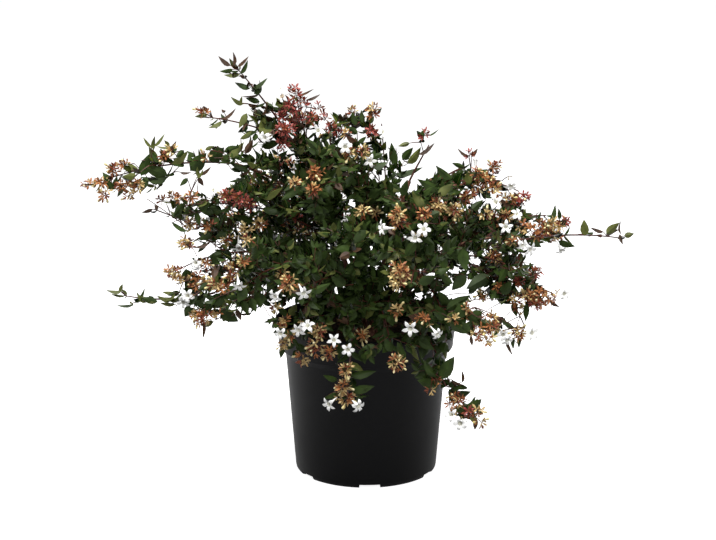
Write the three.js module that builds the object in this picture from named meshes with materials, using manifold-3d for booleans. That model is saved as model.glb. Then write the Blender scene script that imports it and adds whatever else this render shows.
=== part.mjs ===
// Potted glossy abelia: a small-leaved arching shrub in flower, standing in a black nursery pot.
// Millimetres, +Z up. The origin is the middle of the pot's flat underside.
// +X is to the right of a viewer in front of the plant, and +Y runs away from that viewer.

import * as THREE from "three";
import { mergeVertices } from "three/addons/utils/BufferGeometryUtils.js";
import Module from "manifold-3d";

const wasm = await Module();
wasm.setup();

const GAP = 0.3; // clear space between two pieces that touch on the real plant
const SMALLEST_DETAIL = 0.04; // a joined mass loses the corners that shape it less than this
const SAME_CORNER = 1e-4; // corners of a drawn shape that lie this close are one corner
const UP = new THREE.Vector3(0, 0, 1);
const CONE_AXIS = new THREE.Vector3(0, 1, 0);
const UPRIGHT = 0.05; // a direction whose level part is shorter than this counts as upright
const QUARTER_TURN = Math.PI / 2;

// The pot is a moulded nursery container, 280 mm across its rim and 240 mm tall.
const POT = {
  height: 240,
  rimRadius: 140,
  lipHeight: 8,
  bandTopRadius: 138,
  bandBottomRadius: 134.5,
  bandBottom: 199,
  shoulderRadius: 124.5,
  shoulderHeight: 187.5,
  cornerRadius: 110,
  cornerHeight: 8,
  footRadius: 103.5,
  wall: 2,
  floor: 2.5,
  facets: 36,
};
// Six pockets in the bottom corner, each with a round hole in its roof, let water out.
const POCKET = {
  count: 6,
  width: 32,
  depth: 18,
  height: 6.5,
  firstAzimuth: -87,
  holeRadius: 5,
  holeFacets: 8,
  holeLength: 20,
};
// How far the shapes that cut the pot stand out of it, so that they cut right through.
const CUT_PAST_POCKET = 10;
const CUT_PAST_RIM = 5;
const SOIL_TOP = 212;

// Canes rise from a ring round the pot's axis. Reach and height are where a cane's wood stops.
const CANE_SIDES = 6;
const CANE_STEPS = 6;
const ROOT_FLARE = { height: 16, widen: 0.55 };
// A cane stands up out of the soil first and leans out later. Out is the share of the way to its
// end, and up the share of its rise, at the two inner corners of its curve.
const CANE_CURVE = { earlyOut: 0.12, earlyUp: 0.34, lateOut: 0.62, lateUp: 0.76 };
const SOIL_SLAB = { width: 400, depth: 100 };
const CANES = [
  { name: "cane_left", azimuth: -173, ring: 26, reach: 118, height: 348, base: 5.2, tip: 3.0 },
  { name: "cane_front_left", azimuth: -132, ring: 25, reach: 124, height: 330, base: 4.8, tip: 2.8 },
  { name: "cane_front", azimuth: -94, ring: 27, reach: 112, height: 322, base: 4.6, tip: 2.8 },
  { name: "cane_front_right", azimuth: -46, ring: 25, reach: 122, height: 330, base: 4.8, tip: 2.8 },
  { name: "cane_right", azimuth: -4, ring: 26, reach: 126, height: 350, base: 5.2, tip: 3.0 },
  { name: "cane_back_right", azimuth: 48, ring: 26, reach: 140, height: 350, base: 4.6, tip: 2.8 },
  { name: "cane_back_left", azimuth: 129, ring: 26, reach: 140, height: 350, base: 4.6, tip: 2.8 },
  { name: "cane_high_left", azimuth: 177, ring: 9, reach: 84, height: 468, base: 5.6, tip: 3.0 },
  { name: "cane_high_right", azimuth: 14, ring: 9, reach: 68, height: 452, base: 5.6, tip: 3.0 },
];

// Boughs, by the cane they leave, carry the far masses. At is the share of the cane's length.
// Lift is how far the limb bows up, as a share of its length.
const BOUGH_SIDES = 5;
const BOUGH_STEPS = 4;
const BOUGHS = {
  cane_high_left: [
    { name: "bough_far_left", at: 0.7, azimuth: -170, reach: 198, height: 488, lift: 0.08 },
    { name: "bough_whip", at: 1, azimuth: -178, reach: 134, height: 552, lift: 0.02 },
  ],
  cane_left: [
    { name: "bough_far_left_low", at: 0.86, azimuth: -167, reach: 234, height: 294, lift: 0.1 },
  ],
  cane_right: [
    { name: "bough_right_low", at: 0.82, azimuth: -18, reach: 216, height: 314, lift: 0.14 },
    { name: "bough_far_right", at: 1, azimuth: -11, reach: 240, height: 374, lift: 0.1 },
  ],
  cane_high_right: [
    { name: "bough_right_up", at: 0.86, azimuth: 2, reach: 146, height: 448, lift: 0.08 },
  ],
};
const BOUGH_BASE = 2.3;
const BOUGH_TIP = 1.7;
// The inner corners of a bough's or a shoot's curve: shares of the way to its tip, and of its bow.
const BOW = { early: 0.33, earlyHeight: 1.2, late: 0.7 };

// Masses of foliage, by the limb they grow from. Each is one arching shoot with its side twigs,
// leaves and blossom.
// Reach and height are those of its furthest tip.
// Spread is how far its side twigs reach, and the whips are the slender ones.
const MASSES = {
  bough_far_left: [
    { name: "mass_far_left", at: 1, azimuth: -175, reach: 426, height: 458, lift: 0.07, spread: 0.5 },
  ],
  bough_whip: [
    { name: "mass_left_high", at: 0.55, azimuth: -167, reach: 256, height: 568, lift: 0.05, spread: 0.6 },
    { name: "mass_whip", at: 1, azimuth: -174, reach: 206, height: 646, lift: 0.02, spread: 0.4 },
  ],
  cane_left: [
    { name: "mass_left_mid", at: 1, azimuth: 180, reach: 344, height: 418, lift: -0.02, spread: 0.65 },
    { name: "mass_left_low", at: 0.72, azimuth: -161, reach: 306, height: 348, lift: 0.16, spread: 1 },
    { name: "mass_inner_left", at: 0.42, azimuth: 169, reach: 172, height: 270, lift: 0.24, spread: 1 },
    { name: "mass_back_left_side", at: 0.6, azimuth: 153, reach: 294, height: 362, lift: 0.16, spread: 1 },
  ],
  cane_high_left: [
    { name: "mass_left_upper", at: 0.55, azimuth: -164, reach: 302, height: 440, lift: 0.12, spread: 1 },
    { name: "mass_top_back", at: 0.8, azimuth: 114, reach: 114, height: 534, lift: 0.06, spread: 1 },
    { name: "mass_top_red", at: 0.9, azimuth: -176, reach: 108, height: 594, lift: 0.02, spread: 0.8 },
    { name: "mass_front_high_left", at: 0.66, azimuth: -112, reach: 206, height: 486, lift: 0.14, spread: 1 },
  ],
  bough_far_left_low: [
    { name: "mass_far_left_low", at: 1, azimuth: -171, reach: 392, height: 290, lift: -0.07, spread: 0.45 },
  ],
  cane_front_left: [
    { name: "mass_low_left", at: 0.84, azimuth: -149, reach: 288, height: 296, lift: 0.16, spread: 0.8 },
    { name: "mass_front_left", at: 1, azimuth: -130, reach: 286, height: 348, lift: 0.16, spread: 1 },
    { name: "mass_rim_left", at: 0.6, azimuth: -121, reach: 230, height: 250, lift: 0.3, spread: 1 },
  ],
  cane_front: [
    { name: "mass_front_mid_left", at: 0.88, azimuth: -113, reach: 278, height: 340, lift: 0.16, spread: 1 },
    { name: "mass_front_droop", at: 0.8, azimuth: -98, reach: 222, height: 156, lift: 0.34, spread: 0.7 },
    { name: "mass_rim_front", at: 0.66, azimuth: -79, reach: 240, height: 226, lift: 0.34, spread: 1 },
    { name: "mass_front_centre", at: 1, azimuth: -95, reach: 252, height: 428, lift: 0.1, spread: 1 },
  ],
  cane_front_right: [
    { name: "mass_front_right", at: 1, azimuth: -78, reach: 282, height: 362, lift: 0.18, spread: 1 },
    { name: "mass_rim_right", at: 0.84, azimuth: -61, reach: 258, height: 270, lift: 0.22, spread: 1 },
    { name: "mass_droop_right", at: 0.66, azimuth: -60, reach: 300, height: 140, lift: 0.04, spread: 0.6 },
  ],
  cane_right: [
    { name: "mass_right_front", at: 0.66, azimuth: -30, reach: 278, height: 348, lift: 0.18, spread: 1 },
    { name: "mass_inner_right", at: 0.42, azimuth: -28, reach: 180, height: 272, lift: 0.2, spread: 1 },
    { name: "mass_back_right_side", at: 0.74, azimuth: 18, reach: 298, height: 348, lift: 0.16, spread: 1 },
  ],
  bough_right_low: [
    { name: "mass_right_low", at: 1, azimuth: -12, reach: 314, height: 288, lift: 0.08, spread: 0.9 },
    { name: "mass_right_lowest", at: 0.6, azimuth: -26, reach: 278, height: 240, lift: 0.18, spread: 0.9 },
  ],
  bough_far_right: [
    { name: "mass_far_right", at: 1, azimuth: -8, reach: 406, height: 380, lift: 0.05, spread: 0.35 },
    { name: "mass_right_copper", at: 0.5, azimuth: 5, reach: 298, height: 404, lift: 0.12, spread: 0.9 },
  ],
  bough_right_up: [
    { name: "mass_right_shoulder", at: 0.6, azimuth: 9, reach: 262, height: 430, lift: 0.14, spread: 0.9 },
    { name: "mass_right_top", at: 1, azimuth: -7, reach: 204, height: 482, lift: 0.06, spread: 0.9 },
  ],
  cane_high_right: [
    { name: "mass_top_right", at: 1, azimuth: 13, reach: 110, height: 528, lift: 0.02, spread: 0.9 },
    { name: "mass_top_right_back", at: 0.72, azimuth: 29, reach: 196, height: 474, lift: 0.1, spread: 1 },
    { name: "mass_top", at: 0.6, azimuth: 57, reach: 40, height: 562, lift: 0.02, spread: 1 },
    { name: "mass_front_high", at: 0.5, azimuth: -99, reach: 132, height: 524, lift: 0.1, spread: 1 },
    { name: "mass_front_high_right", at: 0.78, azimuth: -69, reach: 230, height: 430, lift: 0.18, spread: 1 },
  ],
  cane_back_left: [
    { name: "mass_back_left", at: 1, azimuth: 130, reach: 306, height: 412, lift: 0.14, spread: 1 },
    { name: "mass_back_low_left", at: 0.66, azimuth: 114, reach: 288, height: 276, lift: 0.28, spread: 1 },
    { name: "mass_back", at: 0.86, azimuth: 96, reach: 260, height: 434, lift: 0.14, spread: 1 },
  ],
  cane_back_right: [
    { name: "mass_back_low", at: 0.66, azimuth: 80, reach: 274, height: 290, lift: 0.28, spread: 1 },
    { name: "mass_back_right", at: 1, azimuth: 58, reach: 286, height: 412, lift: 0.14, spread: 1 },
    { name: "mass_back_right_low", at: 0.82, azimuth: 39, reach: 288, height: 300, lift: 0.24, spread: 1 },
  ],
};

// How a mass grows. Lengths are along the shoot.
const SHOOT = {
  sides: 3,
  rootRadius: 2.1,
  tipRadius: 1.2,
  firstNode: 14,
  nodeSpacing: 36,
  lastNode: 8,
  tipLeaf: 24,
  step: 45,
};
const TWIG = {
  least: 34,
  most: 76,
  share: 0.42,
  radius: 0.85,
  leafSpacing: 28,
  bareRoot: 12,
  leafSize: 0.92,
  lastPair: 0.91,
  extra: 26,
  shortest: 0.8,
  longest: 1.15,
  forward: 0.75,
  outward: 0.85,
  upward: 0.28,
  stagger: 0.02,
};
const LEAF = { length: 49, width: 26, thickness: 1.6, widest: 0.4, shrink: 0.3 };
// A leaf is three-sided across. Such a section of radius 1 has this width and thickness.
const LEAF_SECTION = { sides: 3, width: 2 * Math.sin(Math.PI / 3), thickness: 1.5 };
// How the two leaves of a pair turn from their twig.
const PAIR = {
  sway: 0.3,
  forward: 0.62,
  leastOut: 0.75,
  mostOut: 1.05,
  droop: 0.12,
  lift: 0.16,
  tilt: 0.35,
  smallest: 0.82,
  largest: 1.08,
};
// The last leaf and blossom of a twig or shoot.
const TIP = { at: 0.985, sway: 0.25, leafSize: 0.6, blossomForward: 0.5 };
const LIGHT = { outward: 0.75, upward: 0.65 };
const BLOSSOM = { length: 21, mouth: 9, facets: 4, share: 0.42 };
// The room that foliage keeps. Sunk is how much of a leaf's root may lie in its own twig, and
// that corner is tested this far out along the leaf.
const SPACE = { margin: 1.6, reach: 92, limbClear: 1.2, potClear: 4, soilClear: 6 };
const SUNK = { within: 0.5, testedAt: 2 };
// The steps of the stream of numbers that varies the foliage.
const DICE = { spread: 2654435761, factor: 1664525, add: 1013904223, range: 2 ** 32 };

// A repeatable stream of numbers from 0 to 1 for each seed.
function dice(seed) {
  let state = Math.imul(seed + 1, DICE.spread) >>> 0;
  const roll = () => {
    state = (Math.imul(state, DICE.factor) + DICE.add) >>> 0;
    return state / DICE.range;
  };
  roll();
  return { between: (low, high) => low + (high - low) * roll() };
}

// The rows of a table that is grouped by parent limb, each with its parent's name.
function rowsOf(table) {
  return Object.entries(table).flatMap(([from, rows]) => rows.map((row) => ({ from, ...row })));
}

// A place in the crown: degrees round the pot's axis from +X, distance from it, and height.
function placeOf({ azimuth, reach, height }) {
  const turn = THREE.MathUtils.degToRad(azimuth);
  return new THREE.Vector3(Math.cos(turn) * reach, Math.sin(turn) * reach, height);
}

// A limb's centreline: points at even spacing along a curve, joined by straight stretches.
function lineThrough(curve, steps) {
  const points = curve.getSpacedPoints(steps);
  const length = points.slice(1).reduce((sum, p, i) => sum + p.distanceTo(points[i]), 0);
  return { points, steps, length };
}

// The curve bows up between its two ends.
function centreline(root, tip, lift, steps) {
  const chord = tip.clone().sub(root);
  const bow = UP.clone().multiplyScalar(lift * chord.length());
  const early = root.clone().addScaledVector(chord, BOW.early).addScaledVector(bow, BOW.earlyHeight);
  const late = root.clone().addScaledVector(chord, BOW.late).add(bow);
  return lineThrough(new THREE.CubicBezierCurve3(root, early, late, tip), steps);
}

function pointAt(line, share) {
  const place = Math.min(Math.max(share, 0), 1) * line.steps;
  const i = Math.min(Math.floor(place), line.steps - 1);
  return line.points[i].clone().lerp(line.points[i + 1], place - i);
}

function tangentAt(line, share) {
  const half = 0.5 / line.steps;
  return pointAt(line, share + half).sub(pointAt(line, share - half)).normalize();
}

// How far a point lies from a centreline, and the share of the line that is nearest to it.
function nearestOn(line, p) {
  const best = { distance: Infinity, share: 0 };
  const stretch = new THREE.Line3();
  for (let i = 0; i < line.steps; i++) {
    stretch.set(line.points[i], line.points[i + 1]);
    const along = stretch.closestPointToPointParameter(p, true);
    const distance = stretch.at(along, new THREE.Vector3()).distanceTo(p);
    if (distance < best.distance) Object.assign(best, { distance, share: (i + along) / line.steps });
  }
  return best;
}

// Two directions square to the tangent: one level, one as near upright as it can be.
function crossDirections(tangent) {
  const level = new THREE.Vector3().crossVectors(tangent, UP);
  if (level.length() < UPRIGHT) level.set(1, 0, 0);
  level.normalize();
  return { level, rise: new THREE.Vector3().crossVectors(level, tangent).normalize() };
}

// A round bar bent along a centreline. Radius is a function of the share of the length.
function bentBar(line, radius, sides) {
  const bar = new THREE.CylinderGeometry(1, 1, 1, sides, line.steps);
  const position = bar.getAttribute("position");
  const spot = new THREE.Vector3();
  for (let i = 0; i < position.count; i++) {
    const share = position.getY(i) + 0.5;
    const tangent = tangentAt(line, share);
    const { level, rise } = crossDirections(tangent);
    const r = radius(share);
    spot
      .copy(pointAt(line, share))
      .addScaledVector(level, position.getX(i) * r)
      .addScaledVector(rise, position.getZ(i) * r);
    position.setXYZ(i, spot.x, spot.y, spot.z);
  }
  return bar;
}

function solidOf(geometry) {
  const bare = geometry.clone();
  bare.deleteAttribute("normal");
  bare.deleteAttribute("uv");
  const merged = mergeVertices(bare, SAME_CORNER);
  const mesh = new wasm.Mesh({
    numProp: 3,
    vertProperties: merged.getAttribute("position").array,
    triVerts: new Uint32Array(merged.index.array),
  });
  return new wasm.Manifold(mesh);
}

// The largest closed body of a solid, so that scraps go and sealed hollows fill.
function mainBody(solid) {
  return solid.decompose().reduce((best, body) => (body.volume() > best.volume() ? body : best));
}

function geometryOf(solid) {
  const mesh = solid.getMesh();
  const positions = new Float32Array(mesh.numVert * 3);
  for (let i = 0; i < mesh.numVert; i++) {
    positions.set(mesh.vertProperties.subarray(i * mesh.numProp, i * mesh.numProp + 3), i * 3);
  }
  const geometry = new THREE.BufferGeometry();
  geometry.setAttribute("position", new THREE.BufferAttribute(positions, 3));
  geometry.setIndex(new THREE.BufferAttribute(mesh.triVerts, 1));
  const flat = geometry.toNonIndexed();
  flat.computeVertexNormals();
  return flat;
}

const MATERIAL = {
  pot: new THREE.MeshStandardMaterial({ color: 0x17171a, roughness: 0.5, metalness: 0 }),
  soil: new THREE.MeshStandardMaterial({ color: 0x2b1f17, roughness: 0.95, metalness: 0 }),
  wood: new THREE.MeshStandardMaterial({ color: 0x5a3328, roughness: 0.7, metalness: 0 }),
  foliage: new THREE.MeshStandardMaterial({ color: 0x2c4420, roughness: 0.4, metalness: 0 }),
};

// A named mesh whose geometry is drawn about its own root point.
function meshOf(name, solid, root, material) {
  const geometry = geometryOf(solid).translate(-root.x, -root.y, -root.z);
  const mesh = new THREE.Mesh(geometry, material);
  mesh.name = name;
  mesh.position.copy(root);
  return mesh;
}

// Pot and soil

function turned(profile) {
  const points = profile.map(([r, z]) => new THREE.Vector2(r, z));
  return solidOf(new THREE.LatheGeometry(points, POT.facets).rotateX(QUARTER_TURN));
}

function outerProfile() {
  return [
    [0, 0],
    [POT.footRadius, 0],
    [POT.cornerRadius, POT.cornerHeight],
    [POT.shoulderRadius, POT.shoulderHeight],
    [POT.bandBottomRadius, POT.bandBottom],
    [POT.bandTopRadius, POT.height - POT.lipHeight],
    [POT.rimRadius, POT.height - POT.lipHeight],
    [POT.rimRadius, POT.height],
    [0, POT.height],
  ];
}

// The pot's inside, drawn in by a clearance. It runs up to a given level.
function innerProfile(clear, top) {
  const inset = POT.wall + clear;
  const bandSlope = (POT.bandTopRadius - POT.bandBottomRadius) / (POT.height - POT.bandBottom);
  return [
    [0, POT.floor + clear],
    [POT.footRadius - inset, POT.floor + clear],
    [POT.cornerRadius - inset, POT.cornerHeight + clear],
    [POT.shoulderRadius - inset, POT.shoulderHeight + inset],
    [POT.bandBottomRadius - inset, POT.bandBottom + inset],
    [POT.bandBottomRadius - inset + bandSlope * (top - POT.bandBottom), top],
    [0, top],
  ];
}

// A copy of a shape at each pocket round the pot, joined. Make draws the shape on the +X side.
function atEachPocket(make) {
  const copies = [];
  for (let i = 0; i < POCKET.count; i++) {
    const azimuth = THREE.MathUtils.degToRad(POCKET.firstAzimuth + (i * 360) / POCKET.count);
    copies.push(solidOf(make().rotateZ(azimuth)));
  }
  return wasm.Manifold.union(copies);
}

// The pockets' blocks, grown by a wall thickness where they are seen from inside.
function pocketBlocks(grow) {
  const inner = POT.footRadius - POCKET.depth - grow;
  const outer = POT.cornerRadius + CUT_PAST_POCKET;
  const height = POCKET.height + grow;
  return atEachPocket(() => {
    const block = new THREE.BoxGeometry(outer - inner, POCKET.width + 2 * grow, height + CUT_PAST_POCKET);
    return block.translate((inner + outer) / 2, 0, (height - CUT_PAST_POCKET) / 2);
  });
}

function drainHoles() {
  const { holeRadius, holeLength, holeFacets } = POCKET;
  return atEachPocket(() => {
    const hole = new THREE.CylinderGeometry(holeRadius, holeRadius, holeLength, holeFacets);
    return hole.rotateX(QUARTER_TURN).translate(POT.footRadius - POCKET.depth / 2, 0, 0);
  });
}

function potSolid() {
  const inside = turned(innerProfile(0, POT.height + CUT_PAST_RIM)).subtract(pocketBlocks(POT.wall));
  return turned(outerProfile()).subtract(pocketBlocks(0)).subtract(inside).subtract(drainHoles());
}

function soilSolid() {
  return turned(innerProfile(GAP, SOIL_TOP)).subtract(pocketBlocks(POT.wall + GAP));
}

// Canes and boughs

const limbs = new Map();

// A limb's bar grown by the gap all round and past its tip, which is cut from what grows on it.
function clearanceOf(line, radius, sides) {
  const points = line.points.slice();
  points[line.steps] = points[line.steps].clone().addScaledVector(tangentAt(line, 1), GAP);
  return solidOf(bentBar({ ...line, points }, (share) => radius(share) + GAP, sides));
}

function addLimb(name, line, radius, sides, cut) {
  const solid = mainBody(solidOf(bentBar(line, radius, sides)).subtract(cut));
  limbs.set(name, { name, line, radius, solid, clearance: clearanceOf(line, radius, sides) });
}

function growCane(cane) {
  const root = placeOf({ azimuth: cane.azimuth, reach: cane.ring, height: SOIL_TOP + GAP });
  const end = placeOf(cane);
  const rise = end.z - root.z;
  const early = root.clone().lerp(end, CANE_CURVE.earlyOut).setZ(root.z + CANE_CURVE.earlyUp * rise);
  const late = root.clone().lerp(end, CANE_CURVE.lateOut).setZ(root.z + CANE_CURVE.lateUp * rise);
  const line = lineThrough(new THREE.CubicBezierCurve3(root, early, late, end), CANE_STEPS);
  const radius = (share) => {
    const flare = Math.max(0, 1 - (share * line.length) / ROOT_FLARE.height);
    return THREE.MathUtils.lerp(cane.base, cane.tip, share) * (1 + ROOT_FLARE.widen * flare ** 2);
  };
  addLimb(cane.name, line, radius, CANE_SIDES, belowSoil());
}

// Everything below the soil's top, where a cane is cut flat.
function belowSoil() {
  const slab = new THREE.BoxGeometry(SOIL_SLAB.width, SOIL_SLAB.width, SOIL_SLAB.depth);
  return solidOf(slab.translate(0, 0, SOIL_TOP + GAP - SOIL_SLAB.depth / 2));
}

// Where a piece that leaves a limb starts: on its axis, or past its tip.
function rootOn(limb, at) {
  const root = pointAt(limb.line, at);
  if (at === 1) root.addScaledVector(tangentAt(limb.line, 1), GAP);
  return root;
}

function growBough(bough) {
  const parent = limbs.get(bough.from);
  const line = centreline(rootOn(parent, bough.at), placeOf(bough), bough.lift, BOUGH_STEPS);
  const radius = (share) => THREE.MathUtils.lerp(BOUGH_BASE, BOUGH_TIP, share);
  addLimb(bough.name, line, radius, BOUGH_SIDES, parent.clearance);
}

// Masses

// A leaf from its root: pointed at both ends, and three-sided across, with its keel underneath.
function leafGeometry(root, along, facing, size) {
  const forward = along.clone().normalize();
  const side = new THREE.Vector3().crossVectors(facing, forward).normalize();
  const normal = new THREE.Vector3().crossVectors(forward, side);
  const outline = [
    [0, 0],
    [1, LEAF.widest],
    [0, 1],
  ];
  const points = outline.map(([r, y]) => new THREE.Vector2(r, y));
  const leaf = new THREE.LatheGeometry(points, LEAF_SECTION.sides);
  const position = leaf.getAttribute("position");
  const spot = new THREE.Vector3();
  const across = (size * LEAF.width) / LEAF_SECTION.width;
  const through = LEAF.thickness / LEAF_SECTION.thickness;
  for (let i = 0; i < position.count; i++) {
    spot
      .copy(root)
      .addScaledVector(forward, position.getY(i) * size * LEAF.length)
      .addScaledVector(side, position.getX(i) * across)
      .addScaledVector(normal, -position.getZ(i) * through);
    position.setXYZ(i, spot.x, spot.y, spot.z);
  }
  return leaf;
}

// A blossom is a funnel that widens from its root to its mouth.
function blossomGeometry(root, along) {
  const cone = new THREE.ConeGeometry(BLOSSOM.mouth, BLOSSOM.length, BLOSSOM.facets);
  cone.translate(0, -BLOSSOM.length / 2, 0).rotateX(Math.PI);
  const turn = new THREE.Quaternion().setFromUnitVectors(CONE_AXIS, along.clone().normalize());
  return cone.applyQuaternion(turn).translate(root.x, root.y, root.z);
}

// Points spread over a geometry's faces, to test where it lies.
function testPoints(geometry) {
  const position = (geometry.index ? geometry.toNonIndexed() : geometry).getAttribute("position");
  const points = [];
  for (let i = 0; i < position.count; i += 3) {
    const corners = [0, 1, 2].map((k) => new THREE.Vector3().fromBufferAttribute(position, i + k));
    points.push(corners[0]);
    points.push(corners[0].clone().add(corners[1]).multiplyScalar(0.5));
    points.push(corners[0].clone().add(corners[1]).add(corners[2]).divideScalar(3));
    points.push(corners[1].clone().add(corners[2]).multiplyScalar(0.5));
  }
  return points;
}

function potRadiusAt(z) {
  return z < POT.shoulderHeight ? POT.shoulderRadius : POT.rimRadius;
}

function clearOfPot(p) {
  if (p.z > POT.height + SPACE.potClear) return true;
  const r = Math.hypot(p.x, p.y);
  if (r > potRadiusAt(p.z) + SPACE.potClear) return p.z > SPACE.potClear;
  return r < POT.bandBottomRadius - SPACE.potClear - POT.wall && p.z > SOIL_TOP + SPACE.soilClear;
}

// A point is in a mass's own space when the mass's shoot is the nearest shoot, by a margin.
function inOwnSpace(p, mass) {
  const own = nearestOn(mass.line, p).distance;
  if (own > SPACE.reach || !clearOfPot(p)) return false;
  const others = masses.filter((other) => other !== mass);
  return others.every((other) => nearestOn(other.line, p).distance > own + SPACE.margin);
}

function clearOfLimbs(p) {
  return [...limbs.values()].every((limb) => {
    const { distance, share } = nearestOn(limb.line, p);
    return distance > limb.radius(share) + SPACE.limbClear;
  });
}

function fits(geometry, mass) {
  return testPoints(geometry).every((p) => inOwnSpace(p, mass) && clearOfLimbs(p));
}

function placeMass(row, index) {
  const limb = limbs.get(row.from);
  const root = rootOn(limb, row.at);
  // The shoot ends short of the mass's furthest tip, which is the point of its last leaf.
  const tip = placeOf(row);
  tip.addScaledVector(tip.clone().sub(root).normalize(), -SHOOT.tipLeaf);
  const steps = Math.max(3, Math.round(root.distanceTo(tip) / SHOOT.step));
  return { ...row, index, limb, line: centreline(root, tip, row.lift, steps) };
}

// One side twig, from a node of the shoot, with leaves in pairs and at times a blossom at its tip.
function growTwig(mass, share, turn, chance, pieces) {
  const root = pointAt(mass.line, share);
  const tangent = tangentAt(mass.line, share);
  const { level, rise } = crossDirections(tangent);
  const out = level.multiplyScalar(Math.cos(turn)).addScaledVector(rise, Math.sin(turn));
  const left = mass.line.length * (1 - share);
  const full = THREE.MathUtils.clamp(left * TWIG.share + TWIG.extra, TWIG.least, TWIG.most);
  const length = full * mass.spread * chance.between(TWIG.shortest, TWIG.longest);
  const heading = tangent.clone().multiplyScalar(TWIG.forward).addScaledVector(out, TWIG.outward);
  heading.addScaledVector(UP, TWIG.upward).normalize();
  const line = centreline(root, root.clone().addScaledVector(heading, length), 0, 1);
  const bar = bentBar(line, () => TWIG.radius, SHOOT.sides);
  if (!fits(bar, mass)) return;
  pieces.push(bar);
  const pairs = Math.max(1, Math.round((length - TWIG.bareRoot) / TWIG.leafSpacing));
  for (let k = 1; k <= pairs; k++) {
    const share = (TWIG.lastPair * k) / pairs;
    leafPair(mass, line, share, turn + (pairs - k) * QUARTER_TURN, TWIG.leafSize, chance, pieces);
  }
  tipBlossom(mass, line, chance, pieces);
}

function addLeaf(mass, root, along, facing, size, pieces) {
  const leaf = leafGeometry(root, along, facing, size);
  if (fits(trimmed(leaf, root, along), mass)) pieces.push(leaf);
}

// The leaf without the stretch that is sunk in its own twig, for the test of its place.
function trimmed(leaf, root, along) {
  const shifted = leaf.clone();
  const position = shifted.getAttribute("position");
  const spot = new THREE.Vector3();
  for (let i = 0; i < position.count; i++) {
    spot.fromBufferAttribute(position, i);
    if (spot.distanceTo(root) < SUNK.within) {
      spot.addScaledVector(along.clone().normalize(), SUNK.testedAt);
      position.setXYZ(i, spot.x, spot.y, spot.z);
    }
  }
  return shifted;
}

// Leaves turn their upper sides up and outwards to the light.
function lightSide(p) {
  const outward = new THREE.Vector3(p.x, p.y, 0).normalize();
  return outward.multiplyScalar(LIGHT.outward).addScaledVector(UP, LIGHT.upward);
}

function leafPair(mass, line, share, turn, size, chance, pieces) {
  const root = pointAt(line, share);
  const tangent = tangentAt(line, share);
  const { level, rise } = crossDirections(tangent);
  for (const flip of [0, Math.PI]) {
    const angle = turn + flip + chance.between(-PAIR.sway, PAIR.sway);
    const out = level.clone().multiplyScalar(Math.cos(angle)).addScaledVector(rise, Math.sin(angle));
    const spread = chance.between(PAIR.leastOut, PAIR.mostOut);
    const along = tangent.clone().multiplyScalar(PAIR.forward).addScaledVector(out, spread);
    along.addScaledVector(UP, chance.between(-PAIR.droop, PAIR.lift));
    const facing = lightSide(root).addScaledVector(out, chance.between(-PAIR.tilt, PAIR.tilt));
    addLeaf(mass, root, along, facing, size * chance.between(PAIR.smallest, PAIR.largest), pieces);
  }
}

// The last leaf of a shoot goes on along it.
function tipLeaf(mass, chance, pieces) {
  const tangent = tangentAt(mass.line, 1);
  const { level } = crossDirections(tangent);
  const root = pointAt(mass.line, TIP.at);
  const along = tangent.addScaledVector(level, chance.between(-TIP.sway, TIP.sway));
  addLeaf(mass, root, along, lightSide(root), TIP.leafSize, pieces);
}

// Some twigs end in a blossom, turned a little to one side.
function tipBlossom(mass, line, chance, pieces) {
  const tangent = tangentAt(line, 1);
  const { level, rise } = crossDirections(tangent);
  const root = pointAt(line, TIP.at);
  const angle = chance.between(0, 2 * Math.PI);
  const out = level.multiplyScalar(Math.cos(angle)).addScaledVector(rise, Math.sin(angle));
  if (chance.between(0, 1) > BLOSSOM.share) return;
  const bloom = blossomGeometry(root, tangent.multiplyScalar(TIP.blossomForward).add(out));
  if (fits(bloom, mass)) pieces.push(bloom);
}

function massSolid(mass) {
  const chance = dice(mass.index);
  const shoot = (share) => THREE.MathUtils.lerp(SHOOT.rootRadius, SHOOT.tipRadius, share);
  const pieces = [bentBar(mass.line, shoot, SHOOT.sides)];
  const start = mass.index % 2;
  let node = 0;
  for (let s = SHOOT.firstNode; s < mass.line.length - SHOOT.lastNode; s += SHOOT.nodeSpacing) {
    const share = s / mass.line.length;
    const size = 1 - LEAF.shrink * share;
    const turn = ((node + start) % 2) * QUARTER_TURN;
    if (node % 2 === 0) {
      growTwig(mass, share, turn + (node % 4 === 0 ? 0 : Math.PI), chance, pieces);
      growTwig(mass, share + TWIG.stagger, turn + (node % 4 === 0 ? Math.PI : 0), chance, pieces);
    } else {
      leafPair(mass, mass.line, share, turn, size, chance, pieces);
    }
    node += 1;
  }
  tipLeaf(mass, chance, pieces);
  tipBlossom(mass, mass.line, chance, pieces);
  const joined = wasm.Manifold.union(pieces.map(solidOf));
  return mainBody(joined.subtract(mass.limb.clearance).simplify(SMALLEST_DETAIL));
}

const soil = soilSolid();
CANES.forEach(growCane);
rowsOf(BOUGHS).forEach(growBough);
const masses = rowsOf(MASSES).map(placeMass);

const part = new THREE.Group();
part.name = "potted_glossy_abelia";
const potGroup = new THREE.Group();
const origin = new THREE.Vector3();
potGroup.add(meshOf("pot", potSolid(), origin, MATERIAL.pot));
potGroup.add(meshOf("soil", soil, origin, MATERIAL.soil));
part.add(potGroup);

// The plant's group stands on the soil, and its meshes are placed from there.
const plantGroup = new THREE.Group();
plantGroup.position.z = SOIL_TOP;
function plant(name, solid, root, material) {
  const mesh = meshOf(name, solid, root, material);
  mesh.position.sub(plantGroup.position);
  plantGroup.add(mesh);
}
for (const limb of limbs.values()) plant(limb.name, limb.solid, pointAt(limb.line, 0), MATERIAL.wood);
for (const mass of masses) plant(mass.name, massSolid(mass), pointAt(mass.line, 0), MATERIAL.foliage);
part.add(plantGroup);

export default part;
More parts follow.
